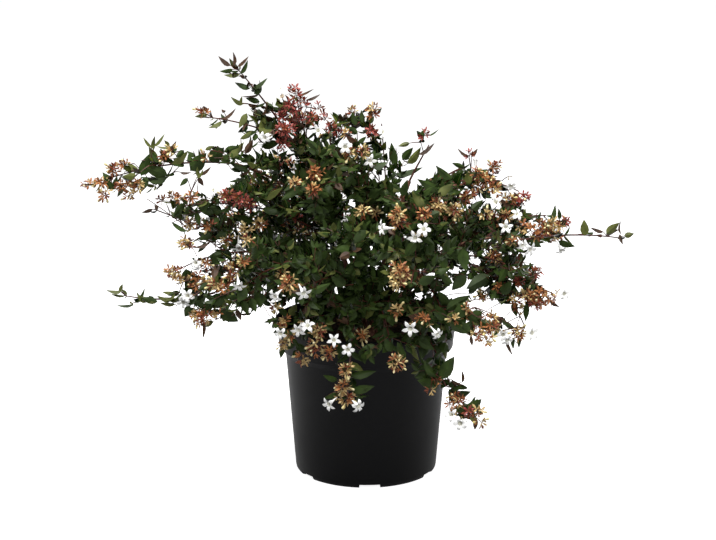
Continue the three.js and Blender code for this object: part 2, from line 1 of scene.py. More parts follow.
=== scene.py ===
# Potted glossy abelia: an arching shrub in flower, in a black nursery pot. This script makes its finish.
# Sizes and places are in millimetres, as in the part's source, and MM turns them to metres.
import math
from collections import namedtuple

import bpy
import numpy as np
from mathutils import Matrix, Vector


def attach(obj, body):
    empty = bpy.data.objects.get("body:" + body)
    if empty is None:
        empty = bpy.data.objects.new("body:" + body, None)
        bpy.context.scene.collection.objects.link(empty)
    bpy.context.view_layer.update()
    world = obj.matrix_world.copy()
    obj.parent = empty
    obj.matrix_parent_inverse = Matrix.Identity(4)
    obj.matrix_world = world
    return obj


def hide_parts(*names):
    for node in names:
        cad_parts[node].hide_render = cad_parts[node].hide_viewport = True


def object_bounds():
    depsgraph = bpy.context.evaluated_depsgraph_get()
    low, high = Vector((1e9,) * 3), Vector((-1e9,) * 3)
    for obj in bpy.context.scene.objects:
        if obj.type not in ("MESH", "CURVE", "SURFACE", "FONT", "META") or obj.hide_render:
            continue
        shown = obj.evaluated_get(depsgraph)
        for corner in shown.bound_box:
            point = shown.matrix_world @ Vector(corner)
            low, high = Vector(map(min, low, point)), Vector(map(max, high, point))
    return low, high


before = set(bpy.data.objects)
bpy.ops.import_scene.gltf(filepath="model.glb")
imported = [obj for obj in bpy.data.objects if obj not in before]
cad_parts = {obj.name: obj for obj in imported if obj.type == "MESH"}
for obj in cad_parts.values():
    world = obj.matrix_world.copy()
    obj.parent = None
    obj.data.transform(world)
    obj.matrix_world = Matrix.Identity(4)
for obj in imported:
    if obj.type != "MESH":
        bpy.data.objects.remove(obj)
cad_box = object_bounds()

MM = 0.001
UP = np.array([0.0, 0.0, 1.0])
QUARTER = math.pi / 2
GAP = 0.3  # clear space between two pieces that touch on the real plant

# The camera that took the photograph, and the photograph's frame in pixels.
CAMERA_PLACE = np.array([-12.5, -2860.0, 1008.0])
CAMERA_PITCH = math.radians(13.6)
FOCAL_PIXELS = 1916
PICTURE_WIDTH = 716
PICTURE_HEIGHT = 540
SENSOR_WIDTH = 36

# The pot is a moulded nursery container, 280 mm across its rim and 240 mm tall.
POT_HEIGHT = 240
RIM_RADIUS = 140
LIP_HEIGHT = 8
BAND_TOP_RADIUS = 138
BAND_BOTTOM_RADIUS = 134.5
BAND_BOTTOM = 199
SHOULDER_RADIUS = 124.5
SHOULDER_HEIGHT = 187.5
CORNER_RADIUS = 110
CORNER_HEIGHT = 8
FOOT_RADIUS = 103.5
POT_WALL = 2
POT_FLOOR = 2.5
POT_FACETS = 120
# Rings that round the shoulder and the lower corner: shares of the widening and of the rise.
SHOULDER_CURVE = [(0.19, 0.35), (0.51, 0.7)]
CORNER_CURVE = [(0.62, 0.22), (0.9, 0.56)]
POCKET_COUNT = 6
POCKET_WIDTH = 32
POCKET_DEPTH = 18
POCKET_HEIGHT = 6.5
POCKET_FIRST_AZIMUTH = -87
DRAIN_RADIUS = 5
SOIL_TOP = 212

# Canes rise from a ring round the pot's axis. Reach and height are where a cane's wood stops.
Cane = namedtuple("Cane", "name azimuth ring reach height base tip")
CANES = [
    Cane("cane_left", -173, 26, 118, 348, 5.2, 3.0),
    Cane("cane_front_left", -132, 25, 124, 330, 4.8, 2.8),
    Cane("cane_front", -94, 27, 112, 322, 4.6, 2.8),
    Cane("cane_front_right", -46, 25, 122, 330, 4.8, 2.8),
    Cane("cane_right", -4, 26, 126, 350, 5.2, 3.0),
    Cane("cane_back_right", 48, 26, 140, 350, 4.6, 2.8),
    Cane("cane_back_left", 129, 26, 140, 350, 4.6, 2.8),
    Cane("cane_high_left", 177, 9, 84, 468, 5.6, 3.0),
    Cane("cane_high_right", 14, 9, 68, 452, 5.6, 3.0),
]
FLARE_HEIGHT = 16
FLARE_WIDEN = 0.55

# Boughs, by the cane they leave. At is the share of the cane's length, and lift is how far the
# limb bows up, as a share of its own length.
Bough = namedtuple("Bough", "name at azimuth reach height lift")
BOUGHS = {
    "cane_high_left": [
        Bough("bough_far_left", 0.7, -170, 198, 488, 0.08),
        Bough("bough_whip", 1, -178, 134, 552, 0.02),
    ],
    "cane_left": [Bough("bough_far_left_low", 0.86, -167, 234, 294, 0.1)],
    "cane_right": [
        Bough("bough_right_low", 0.82, -18, 216, 314, 0.14),
        Bough("bough_far_right", 1, -11, 240, 374, 0.1),
    ],
    "cane_high_right": [Bough("bough_right_up", 0.86, 2, 146, 448, 0.08)],
}
BOUGH_BASE = 2.3
BOUGH_TIP = 1.7

# Masses of foliage, by the limb they grow from. Each is one arching shoot with its side twigs,
# leaves and blossom. Spread is how far its side twigs reach, and the whips are the slender ones.
Mass = namedtuple("Mass", "name at azimuth reach height lift spread")
MASSES = {
    "bough_far_left": [Mass("mass_far_left", 1, -175, 426, 458, 0.07, 0.5)],
    "bough_whip": [
        Mass("mass_left_high", 0.55, -167, 256, 568, 0.05, 0.6),
        Mass("mass_whip", 1, -174, 206, 646, 0.02, 0.4),
    ],
    "cane_left": [
        Mass("mass_left_mid", 1, 180, 344, 418, -0.02, 0.65),
        Mass("mass_left_low", 0.72, -161, 306, 348, 0.16, 1),
        Mass("mass_inner_left", 0.42, 169, 172, 270, 0.24, 1),
        Mass("mass_back_left_side", 0.6, 153, 294, 362, 0.16, 1),
    ],
    "cane_high_left": [
        Mass("mass_left_upper", 0.55, -164, 302, 440, 0.12, 1),
        Mass("mass_top_back", 0.8, 114, 114, 534, 0.06, 1),
        Mass("mass_top_red", 0.9, -176, 108, 594, 0.02, 0.8),
        Mass("mass_front_high_left", 0.66, -112, 206, 486, 0.14, 1),
    ],
    "bough_far_left_low": [Mass("mass_far_left_low", 1, -171, 392, 290, -0.07, 0.45)],
    "cane_front_left": [
        Mass("mass_low_left", 0.84, -149, 288, 296, 0.16, 0.8),
        Mass("mass_front_left", 1, -130, 286, 348, 0.16, 1),
        Mass("mass_rim_left", 0.6, -121, 230, 250, 0.3, 1),
    ],
    "cane_front": [
        Mass("mass_front_mid_left", 0.88, -113, 278, 340, 0.16, 1),
        Mass("mass_front_droop", 0.8, -98, 222, 156, 0.34, 0.7),
        Mass("mass_rim_front", 0.66, -79, 240, 226, 0.34, 1),
        Mass("mass_front_centre", 1, -95, 252, 428, 0.1, 1),
    ],
    "cane_front_right": [
        Mass("mass_front_right", 1, -78, 282, 362, 0.18, 1),
        Mass("mass_rim_right", 0.84, -61, 258, 270, 0.22, 1),
        Mass("mass_droop_right", 0.66, -60, 300, 140, 0.04, 0.6),
    ],
    "cane_right": [
        Mass("mass_right_front", 0.66, -30, 278, 348, 0.18, 1),
        Mass("mass_inner_right", 0.42, -28, 180, 272, 0.2, 1),
        Mass("mass_back_right_side", 0.74, 18, 298, 348, 0.16, 1),
    ],
    "bough_right_low": [
        Mass("mass_right_low", 1, -12, 314, 288, 0.08, 0.9),
        Mass("mass_right_lowest", 0.6, -26, 278, 240, 0.18, 0.9),
    ],
    "bough_far_right": [
        Mass("mass_far_right", 1, -8, 406, 380, 0.05, 0.35),
        Mass("mass_right_copper", 0.5, 5, 298, 404, 0.12, 0.9),
    ],
    "bough_right_up": [
        Mass("mass_right_shoulder", 0.6, 9, 262, 430, 0.14, 0.9),
        Mass("mass_right_top", 1, -7, 204, 482, 0.06, 0.9),
    ],
    "cane_high_right": [
        Mass("mass_top_right", 1, 13, 110, 528, 0.02, 0.9),
        Mass("mass_top_right_back", 0.72, 29, 196, 474, 0.1, 1),
        Mass("mass_top", 0.6, 57, 40, 562, 0.02, 1),
        Mass("mass_front_high", 0.5, -99, 132, 524, 0.1, 1),
        Mass("mass_front_high_right", 0.78, -69, 230, 430, 0.18, 1),
    ],
    "cane_back_left": [
        Mass("mass_back_left", 1, 130, 306, 412, 0.14, 1),
        Mass("mass_back_low_left", 0.66, 114, 288, 276, 0.28, 1),
        Mass("mass_back", 0.86, 96, 260, 434, 0.14, 1),
    ],
    "cane_back_right": [
        Mass("mass_back_low", 0.66, 80, 274, 290, 0.28, 1),
        Mass("mass_back_right", 1, 58, 286, 412, 0.14, 1),
        Mass("mass_back_right_low", 0.82, 39, 288, 300, 0.24, 1),
    ],
}

# A limb's line: samples along its curve, and the spacing of points on boughs, shoots and twigs.
CURVE_SAMPLES = 201
BOUGH_STEP = 4
SHOOT_STEP = 12
TWIG_STEP = 9
CANE_STEPS = 40
# The inner corners of a cane's curve, and of an arch, as shares of the way from end to end.
CANE_EARLY_OUT = 0.12
CANE_EARLY_RISE = 0.34
CANE_LATE_OUT = 0.62
CANE_LATE_RISE = 0.76
ARCH_EARLY = 0.33
ARCH_EARLY_BOW = 1.2
ARCH_LATE = 0.7
NEARLY_UPRIGHT = 0.05
TINY = 1e-6

# How a shoot grows. Lengths are along the shoot.
SHOOT_ROOT_RADIUS = 1.7
SHOOT_TIP_RADIUS = 0.95
FIRST_NODE = 14
NODE_SPACING = 16
LAST_NODE = 8
TIP_LEAF_REACH = 24
TIP_LEAF_SHARE = 0.95
TIP_PAIR_AT = 0.985
TIP_PAIR_LEAF = 18

# Side twigs: their length from the shoot that is left past them, and their way out.
TWIG_LEAST = 34
TWIG_MOST = 76
TWIG_SHARE = 0.42
TWIG_EXTRA = 26
SHORT_TWIG = 46
TWIG_SIZES = (0.8, 1.15)
TWIG_LENGTHS_TRIED = (1, 0.7, 0.45)
TWIG_SHORTEST = 12
TWIG_PAST_NODE = 0.01
TWIG_FORWARD = 0.75
TWIG_OUTWARD = 0.85
TWIG_UPWARD = 0.28
TWIG_BOW = (-0.05, 0.12)
TWIG_TIP_RADIUS = 0.45
TWIG_BARE_ROOT = 9
TWIG_LAST_NODE = 0.97
TWIG_LEAF_TAPER = 0.22
TIP_LEAF_CHANCE = 0.8
TIP_LEAF_LIFT = (-0.3, 0.2)
TIP_LEAF_SIZES = (0.45, 0.7)
# Sprigs grow from long side twigs.
SPRIG_FROM = 42
SPRIG_SHARE = 0.5
SPRIG_EXTRA = 12
SPRIG_LEAST = 18
SPRIG_SIZES = (0.8, 1.2)

# Twigs straight from a cane or bough. They belong to the shoot that is nearest to where they head.
LIMB_BARE_ROOT = 26
LIMB_NODE_SPACING = 24
LIMB_TWIG_LENGTHS = (34, 62)
LIMB_TWIG_SWING = 0.5
LIMB_TWIG_REACHED = 0.7
LIMB_TWIG_RISE = 10

LEAF_LENGTH = 34
LEAF_SHRINK = 0.34
LEAF_WIDTH_SHARE = 0.5
LEAF_WIDTHS = (0.82, 1.18)
TwigKind = namedtuple("TwigKind", "radius leaf spacing sprigs")
SIDE_TWIG = TwigKind(0.75, LEAF_LENGTH * 0.82, 10, True)
LIMB_TWIG = TwigKind(0.75, LEAF_LENGTH * 0.95, 12, True)
SPRIG = TwigKind(0.55, LEAF_LENGTH * 0.66, 9, False)

# How a leaf of a pair lies: how far it points forward, outward and up, and how it rolls and nods.
PAIR_SWING = 0.3
PAIR_FORWARD = 0.62
PAIR_OUTWARD = (0.75, 1.05)
PAIR_LIFT = (-0.22, 0.12)
PAIR_SIZES = (0.72, 1.1)
LEAF_ROLL = 0.95
LEAF_NOD = 0.7
LIGHT_OUTWARDS = 0.55
LIGHT_UPWARDS = 0.8

# Leaves are sunned above a height and outer beyond a distance from the axis, fully so after a while.
SUNNED_FROM = 480
SUNNED_OVER = 100
OUTER_FROM = 170
OUTER_OVER = 120
# Shares of the young tints: anywhere, more for a young outer leaf, and more for a sunned one.
YOUNG_TINTS = {"bronze": (0.01, 0.14, 0.24), "olive": (0.06, 0.3, 0.06)}
MID_UP_TO = 0.56

# The room that foliage keeps: its reach from its own shoot, and what it stays clear of.
REACH = 92
CROSS_OVER = 10
LIMB_CLEAR = 0.8
POT_CLEAR = 3
SOIL_CLEAR = 4
BOX_SLACK = 8
# A leaf is tried at these sizes. It is tested at points along its rib and at its widest.
LEAF_SIZES_TRIED = (1, 0.7, 0.48)
LEAF_TESTED_AT = (0.12, 0.3, 0.5, 0.7, 0.86, 1)
LEAF_WIDEST_AT = 0.4
POINTS_AT_ONCE = 2000
BARE_SLACK = 4

# One stream of random numbers for each job.
TRUSS_SEED = 501
FLOWER_SEED = 502
HIDDEN_SEED = 503
CALYX_SEED = 504
STAMP_SEED = 505
CHIP_SEED = 506
SPRAY_SEED = 507
LIMB_SEED = 700


def azimuth_place(azimuth, reach, height):
    """A place: degrees round the pot's axis from +X, distance from it, and height."""
    turn = math.radians(azimuth)
    return np.array([math.cos(turn) * reach, math.sin(turn) * reach, height])


def unit(vector):
    return vector / np.linalg.norm(vector)


def units(vectors):
    return vectors / np.linalg.norm(vectors, axis=1, keepdims=True)


class Dice:
    """A repeatable stream of numbers for each seed."""

    def __init__(self, seed):
        self.state = ((seed + 1) * 2654435761) % 2**32
        self.roll()

    def roll(self):
        self.state = (self.state * 1664525 + 1013904223) % 2**32
        return self.state / 2**32

    def between(self, low, high):
        return low + (high - low) * self.roll()

    def within(self, reach):
        return self.between(-reach, reach)


class Line:
    """A centreline: points at even spacing along a curve with four corners."""

    def __init__(self, corners, steps):
        t = np.linspace(0, 1, CURVE_SAMPLES)
        along = self.curve(corners, t)
        run = np.concatenate([[0], np.cumsum(np.linalg.norm(np.diff(along, axis=0), axis=1))])
        self.length = run[-1]
        self.steps = steps
        self.points = self.curve(corners, np.interp(np.linspace(0, run[-1], steps + 1), run, t))

    @staticmethod
    def curve(corners, t):
        t = np.asarray(t)[:, None]
        root, early, late, end = corners
        return (1 - t) ** 3 * root + 3 * (1 - t) ** 2 * t * early + 3 * (1 - t) * t**2 * late + t**3 * end

    def at(self, share):
        place = min(max(share, 0), 1) * self.steps
        i = min(int(place), self.steps - 1)
        return self.points[i] + (self.points[i + 1] - self.points[i]) * (place - i)

    def tangent(self, share):
        half = 0.5 / self.steps
        return unit(self.at(share + half) - self.at(share - half))


def arched(root, tip, lift, step):
    """The line that bows up between its two ends."""
    chord = tip - root
    bow = UP * lift * np.linalg.norm(chord)
    corners = (root, root + chord * ARCH_EARLY + bow * ARCH_EARLY_BOW, root + chord * ARCH_LATE + bow, tip)
    return Line(corners, max(3, round(np.linalg.norm(chord) / step)))


def cross_directions(tangent):
    """Two directions square to the tangent: one level, one as near upright as it can be."""
    level = np.cross(tangent, UP)
    if np.linalg.norm(level) < NEARLY_UPRIGHT:
        level = np.array([1.0, 0, 0])
    level = unit(level)
    return level, unit(np.cross(level, tangent))


def sideways(tangent, turn):
    """The direction square to the tangent that is turned round it from the level one."""
    level, rise = cross_directions(tangent)
    return level * math.cos(turn) + rise * math.sin(turn)


# Limbs: the canes and boughs
Limb = namedtuple("Limb", "name line radius")
limbs = {}


def cane_line(cane):
    """A cane stands up out of the soil first and leans out later."""
    root = azimuth_place(cane.azimuth, cane.ring, SOIL_TOP + GAP)
    end = azimuth_place(cane.azimuth, cane.reach, cane.height)
    rise = end[2] - root[2]
    early = root + (end - root) * CANE_EARLY_OUT
    early[2] = root[2] + CANE_EARLY_RISE * rise
    late = root + (end - root) * CANE_LATE_OUT
    late[2] = root[2] + CANE_LATE_RISE * rise
    return Line((root, early, late, end), CANE_STEPS)


def cane_radius(cane, length):
    def radius(share):
        flare = max(0, 1 - share * length / FLARE_HEIGHT)
        return (cane.base + (cane.tip - cane.base) * share) * (1 + FLARE_WIDEN * flare**2)

    return radius


def bough_radius(share):
    return BOUGH_BASE + (BOUGH_TIP - BOUGH_BASE) * share


def root_on(limb, at):
    """Where a piece that leaves a limb starts: on its axis, or past its tip."""
    root = limb.line.at(at)
    return root + limb.line.tangent(1) * GAP if at == 1 else root


for cane in CANES:
    line = cane_line(cane)
    limbs[cane.name] = Limb(cane.name, line, cane_radius(cane, line.length))
for parent, rows in BOUGHS.items():
    for row in rows:
        end = azimuth_place(row.azimuth, row.reach, row.height)
        line = arched(root_on(limbs[parent], row.at), end, row.lift, BOUGH_STEP)
        limbs[row.name] = Limb(row.name, line, bough_radius)

# Shoots: one for each mass of foliage
Shoot = namedtuple("Shoot", "name index line spread")
shoots = []
for parent, rows in MASSES.items():
    for row in rows:
        root = root_on(limbs[parent], row.at)
        # The shoot ends short of the mass's furthest tip, which is the point of its last leaf.
        tip = azimuth_place(row.azimuth, row.reach, row.height)
        tip = tip - unit(tip - root) * TIP_LEAF_REACH
        shoots.append(Shoot(row.name, len(shoots), arched(root, tip, row.lift, SHOOT_STEP), row.spread))


class Stretches:
    """Straight stretches of several lines, each with its owner, to measure distances from."""

    def __init__(self, lines, radii=None):
        self.start = np.concatenate([line.points[:-1] for line in lines])
        self.way = np.concatenate([np.diff(line.points, axis=0) for line in lines])
        self.owner = np.concatenate([np.full(line.steps, i) for i, line in enumerate(lines)])
        self.radius = np.zeros(len(self.owner))
        if radii:
            shares = [np.arange(line.steps) / line.steps for line in lines]
            self.radius = np.concatenate([[r(s) for s in row] for r, row in zip(radii, shares)])

    def distances(self, points):
        """The clear distance from each point to each stretch."""
        w = points[:, None, :] - self.start
        along = np.clip((w * self.way).sum(-1) / (self.way**2).sum(-1), 0, 1)
        return np.linalg.norm(w - along[..., None] * self.way, axis=-1) - self.radius


shoot_stretches = Stretches([s.line for s in shoots])
limb_stretches = Stretches([b.line for b in limbs.values()], [b.radius for b in limbs.values()])
box_low = np.array(cad_box[0]) / MM - BOX_SLACK
box_high = np.array(cad_box[1]) / MM + BOX_SLACK
VIEW_RIGHT = np.array([1.0, 0, 0])
VIEW_AHEAD = np.array([0, math.cos(CAMERA_PITCH), -math.sin(CAMERA_PITCH)])
VIEW_UP = np.array([0, math.sin(CAMERA_PITCH), math.cos(CAMERA_PITCH)])


def on_picture(points):
    """Pixels across and down, and the depth before the camera, of points."""
    away = np.atleast_2d(points) - CAMERA_PLACE
    depth = away @ VIEW_AHEAD
    across = PICTURE_WIDTH / 2 + FOCAL_PIXELS * (away @ VIEW_RIGHT) / depth
    down = PICTURE_HEIGHT / 2 - FOCAL_PIXELS * (away @ VIEW_UP) / depth
    return across, down, depth


def behind_pixel(across, down, depth):
    """The point at a depth behind a pixel of the photograph."""
    right = (across - PICTURE_WIDTH / 2) / FOCAL_PIXELS
    fall = (down - PICTURE_HEIGHT / 2) / FOCAL_PIXELS
    return CAMERA_PLACE + (VIEW_AHEAD + VIEW_RIGHT * right - VIEW_UP * fall) * depth


def span(pixels, depth):
    """How many millimetres some pixels are at a depth."""
    return pixels * depth / FOCAL_PIXELS


# The crown's outline in the photograph, in pixels across and down.
CROWN_OUTLINE = [
    (78, 184), (90, 177), (103, 175), (106, 162), (118, 157), (130, 163), (137, 164), (147, 158),
    (152, 150), (147, 142), (140, 137), (146, 134), (154, 140), (164, 132), (168, 134), (168, 142),
    (176, 145), (188, 146), (194, 150), (206, 149), (214, 145), (226, 146), (234, 145), (240, 139),
    (236, 135), (222, 128), (212, 132), (204, 130), (212, 123), (204, 118), (192, 118), (194, 111),
    (202, 105), (210, 108), (216, 115), (220, 108), (228, 111), (238, 108), (240, 111), (232, 119),
    (240, 125), (246, 113), (238, 107), (229, 101), (230, 96), (240, 93), (250, 99), (247, 92), (234, 87),
    (234, 81), (246, 84), (241, 78), (224, 79), (218, 74), (226, 69), (217, 62), (216, 56), (226, 58),
    (231, 51), (238, 51), (239, 61), (252, 55), (251, 66), (246, 75), (252, 84), (262, 76), (268, 77),
    (264, 84), (262, 92), (260, 97), (268, 101), (276, 102), (276, 96), (283, 95), (284, 88), (291, 84),
    (300, 84), (304, 93), (303, 101), (309, 107), (316, 111), (324, 115), (329, 121), (331, 109),
    (337, 108), (341, 113), (350, 112), (356, 110), (362, 106), (370, 104), (379, 103), (384, 107),
    (380, 115), (374, 121), (372, 127), (380, 127), (382, 135), (385, 142), (390, 146), (395, 145),
    (400, 152), (406, 145), (414, 142), (420, 139), (416, 131), (422, 129), (434, 128), (436, 134),
    (432, 142), (424, 148), (420, 158), (410, 166), (414, 170), (404, 178), (400, 188), (410, 192),
    (420, 186), (416, 180), (432, 178), (434, 169), (442, 172), (451, 174), (458, 168), (452, 163),
    (461, 163), (466, 157), (457, 151), (470, 153), (478, 148), (476, 156), (468, 168), (476, 170),
    (486, 168), (488, 160), (497, 158), (502, 166), (499, 178), (508, 184), (512, 190), (522, 193),
    (532, 195), (530, 203), (522, 208), (531, 214), (540, 210), (548, 212), (552, 204), (556, 206),
    (558, 216), (570, 214), (573, 223), (568, 232), (580, 234), (583, 222), (588, 222), (588, 233),
    (600, 232), (592, 226), (606, 228), (612, 222), (619, 220), (622, 230), (634, 229), (634, 238),
    (622, 240), (608, 237), (590, 238), (574, 241), (575, 247), (562, 247), (548, 244), (538, 250),
    (530, 248), (524, 262), (536, 264), (542, 272), (538, 280), (546, 288), (558, 296), (556, 304),
    (546, 306), (532, 308), (528, 322), (524, 310), (516, 318), (512, 304), (502, 304), (498, 312),
    (508, 322), (520, 324), (527, 332), (522, 340), (516, 344), (514, 358), (506, 344), (500, 336),
    (490, 342), (482, 344), (474, 342), (466, 334), (458, 326), (452, 334), (452, 352), (448, 362),
    (446, 376), (458, 384), (463, 372), (467, 374), (464, 386), (474, 390), (482, 397), (480, 408),
    (486, 412), (480, 420), (476, 430), (470, 424), (456, 426), (448, 418), (450, 402), (440, 392),
    (430, 392), (422, 382), (410, 378), (402, 372), (390, 372), (380, 364), (374, 366), (378, 372),
    (374, 388), (376, 396), (362, 400), (362, 412), (350, 410), (344, 402), (332, 404), (322, 400),
    (326, 392), (334, 386), (322, 380), (328, 370), (318, 362), (304, 370), (294, 362), (284, 358),
    (276, 346), (272, 334), (264, 324), (266, 318), (272, 310), (262, 304), (256, 314), (246, 316),
    (240, 322), (226, 324), (216, 320), (208, 330), (202, 340), (198, 330), (192, 326), (190, 318),
    (184, 316), (186, 306), (170, 306), (150, 306), (128, 308), (116, 308), (130, 302), (118, 298),
    (104, 295), (106, 291), (118, 292), (122, 285), (128, 290), (128, 298), (138, 296), (148, 289),
    (148, 296), (160, 294), (168, 296), (178, 290), (172, 284), (168, 276), (170, 268), (180, 266),
    (190, 270), (192, 262), (204, 262), (210, 254), (218, 252), (212, 246), (200, 246), (196, 252),
    (194, 244), (184, 248), (180, 240), (186, 237), (198, 240), (196, 232), (188, 232), (168, 229),
    (186, 226), (176, 218), (160, 218), (144, 214), (142, 209), (152, 208), (147, 200), (158, 200),
    (164, 194), (172, 188), (178, 196), (188, 190), (200, 192), (212, 190), (226, 188), (236, 182),
    (228, 176), (218, 168), (226, 162), (208, 166), (204, 176), (212, 170), (204, 182), (202, 188),
    (196, 180), (180, 176), (170, 178), (162, 184), (160, 192), (150, 196), (132, 193), (124, 196),
    (118, 200), (106, 205), (92, 192),
]
# Sky that shows through the crown: pixels across and down, and its radius.
SKY_SEEN = [
    (456, 293, 8), (447, 297, 5), (464, 292, 4), (485, 307, 8), (497, 304, 4), (476, 304, 4), (420, 294, 3),
    (430, 292, 3), (412, 290, 3), (422, 271, 4), (432, 276, 4), (456, 270, 3), (345, 263, 4), (363, 286, 2),
    (337, 291, 3), (312, 254, 2), (256, 205, 3), (263, 207, 3), (344, 198, 3), (373, 172, 3), (380, 180, 3),
    (441, 235, 3), (464, 242, 3), (474, 261, 4), (471, 254, 3), (440, 250, 4), (417, 254, 2), (401, 197, 4),
    (412, 187, 4), (389, 152, 3), (370, 248, 3), (352, 258, 3), (326, 119, 4), (323, 127, 3), (220, 240, 3),
    (240, 228, 3), (190, 256, 4), (204, 256, 4), (204, 276, 4), (384, 172, 3), (224, 184, 3), (213, 183, 3),
    (192, 186, 4), (179, 184, 4), (168, 188, 3), (228, 172, 4),
]
SKY_MARGIN = -0.5


def within_outline(points):
    """Whether points lie inside the crown's outline as the camera sees them."""
    across, down, _ = on_picture(points)
    edge = np.array(CROWN_OUTLINE, float)
    following = np.roll(edge, -1, axis=0)
    inside = np.zeros(len(across), bool)
    for (u0, v0), (u1, v1) in zip(edge, following):
        crosses = (v0 > down) != (v1 > down)
        if v0 != v1:
            inside ^= crosses & (across < (u1 - u0) * (down - v0) / (v1 - v0) + u0)
    return inside


def on_sky(across, down):
    """Whether pixels lie in a gap of the crown."""
    lies = np.zeros(len(across), bool)
    for spot_across, spot_down, radius in SKY_SEEN:
        lies |= np.hypot(across - spot_across, down - spot_down) < radius + SKY_MARGIN
    return lies


def clear_of_pot(points):
    r = np.hypot(points[:, 0], points[:, 1])
    z = points[:, 2]
    pot_radius = np.where(z < SHOULDER_HEIGHT, SHOULDER_RADIUS, RIM_RADIUS)
    outside = (r > pot_radius + POT_CLEAR) & (z > POT_CLEAR)
    inside = (r < BAND_BOTTOM_RADIUS - POT_CLEAR - POT_WALL) & (z > SOIL_TOP + SOIL_CLEAR)
    return (z > POT_HEIGHT + POT_CLEAR) | outside | inside


def has_room(points, owner):
    """Whether points lie in a mass's own space, inside the frame's box and clear of pot and limbs."""
    if not clear_of_pot(points).all() or (points < box_low).any() or (points > box_high).any():
        return False
    if not within_outline(points).all():
        return False
    away = shoot_stretches.distances(points)
    own = away[:, shoot_stretches.owner == owner].min(axis=1)
    if (own > REACH).any() or (own > away.min(axis=1) + CROSS_OVER).any():
        return False
    return bool((limb_stretches.distances(points) > LIMB_CLEAR).all())


# Growth: shoots, twigs, leaves and where trusses may stand
Leaf = namedtuple("Leaf", "root along facing length width tint seen")
Tube = namedtuple("Tube", "points radius tip_radius sides")
Tip = namedtuple("Tip", "place heading owner")
leaves = []
tubes = []
tips = []
carriers = []  # points of the twigs that a truss or a flower can grow from


def light_side(place):
    """Leaves turn their upper sides up and outwards to the light."""
    radial = unit(np.array([place[0], place[1], 0.0]) + TINY)
    return radial * LIGHT_OUTWARDS + UP * LIGHT_UPWARDS


def leaf_tint(root, age, chance):
    """Leaves near a tip at the crown's edge are younger, and more of them olive or bronze."""
    pick = chance.roll()
    sunned = min(max((root[2] - SUNNED_FROM) / SUNNED_OVER, 0), 1)
    outer = min(max((math.hypot(root[0], root[1]) - OUTER_FROM) / OUTER_OVER, sunned, 0), 1)
    share = 0
    for tint, (anywhere, for_young, for_sunned) in YOUNG_TINTS.items():
        share = share + anywhere + for_young * age * outer + for_sunned * sunned
        if pick < share:
            return tint
    return "mid" if pick < MID_UP_TO else "deep"


def add_leaf(root, along, facing, length, age, chance):
    tint = leaf_tint(root, age, chance)
    width = length * LEAF_WIDTH_SHARE * chance.between(*LEAF_WIDTHS)
    leaves.append(Leaf(root, unit(along), facing, length, width, tint, False))


def leaf_pair(line, share, turn, length, age, chance):
    root = line.at(share)
    tangent = line.tangent(share)
    for flip in (0, math.pi):
        out = sideways(tangent, turn + flip + chance.within(PAIR_SWING))
        along = tangent * PAIR_FORWARD + out * chance.between(*PAIR_OUTWARD) + UP * chance.between(*PAIR_LIFT)
        facing = light_side(root) + out * chance.within(LEAF_ROLL) + tangent * chance.within(LEAF_NOD)
        add_leaf(root, along, facing, length * chance.between(*PAIR_SIZES), age, chance)


def grow_side(line, share, turn, length, owner, chance, kind):
    """A side twig with leaves in pairs, and sprigs of its own where it is long."""
    root = line.at(share)
    tangent = line.tangent(share)
    heading = unit(tangent * TWIG_FORWARD + sideways(tangent, turn) * TWIG_OUTWARD + UP * TWIG_UPWARD)
    for trial in TWIG_LENGTHS_TRIED:
        side = arched(root, root + heading * length * trial, chance.between(*TWIG_BOW), TWIG_STEP)
        if side.length > TWIG_SHORTEST and has_room(side.points[1:], owner):
            break
    else:
        return
    tubes.append(Tube(side.points, kind.radius, TWIG_TIP_RADIUS, 4))
    leafy = side.length - TWIG_BARE_ROOT
    count = max(1, round(leafy / kind.spacing))
    for k in range(1, count + 1):
        at = (TWIG_BARE_ROOT + leafy * k / count * TWIG_LAST_NODE) / side.length
        size = kind.leaf * (1 - TWIG_LEAF_TAPER * k / count)
        leaf_pair(side, at, turn + k * QUARTER, size, k / count, chance)
        carriers.append((side.at(at), owner))
        if kind.sprigs and side.length > SPRIG_FROM and k < count and k % 2 == 1:
            for flip in (0, math.pi):
                reach = max(SPRIG_LEAST, (1 - at) * side.length * SPRIG_SHARE + SPRIG_EXTRA)
                reach = reach * chance.between(*SPRIG_SIZES)
                grow_side(side, at, turn + (k + 1) * QUARTER + flip, reach, owner, chance, SPRIG)
    end = side.at(1)
    heading = side.tangent(1)
    if chance.roll() < TIP_LEAF_CHANCE:
        along = heading + UP * chance.between(*TIP_LEAF_LIFT)
        add_leaf(end, along, light_side(end), kind.leaf * chance.between(*TIP_LEAF_SIZES), 1, chance)
    tips.append(Tip(end, heading, owner))


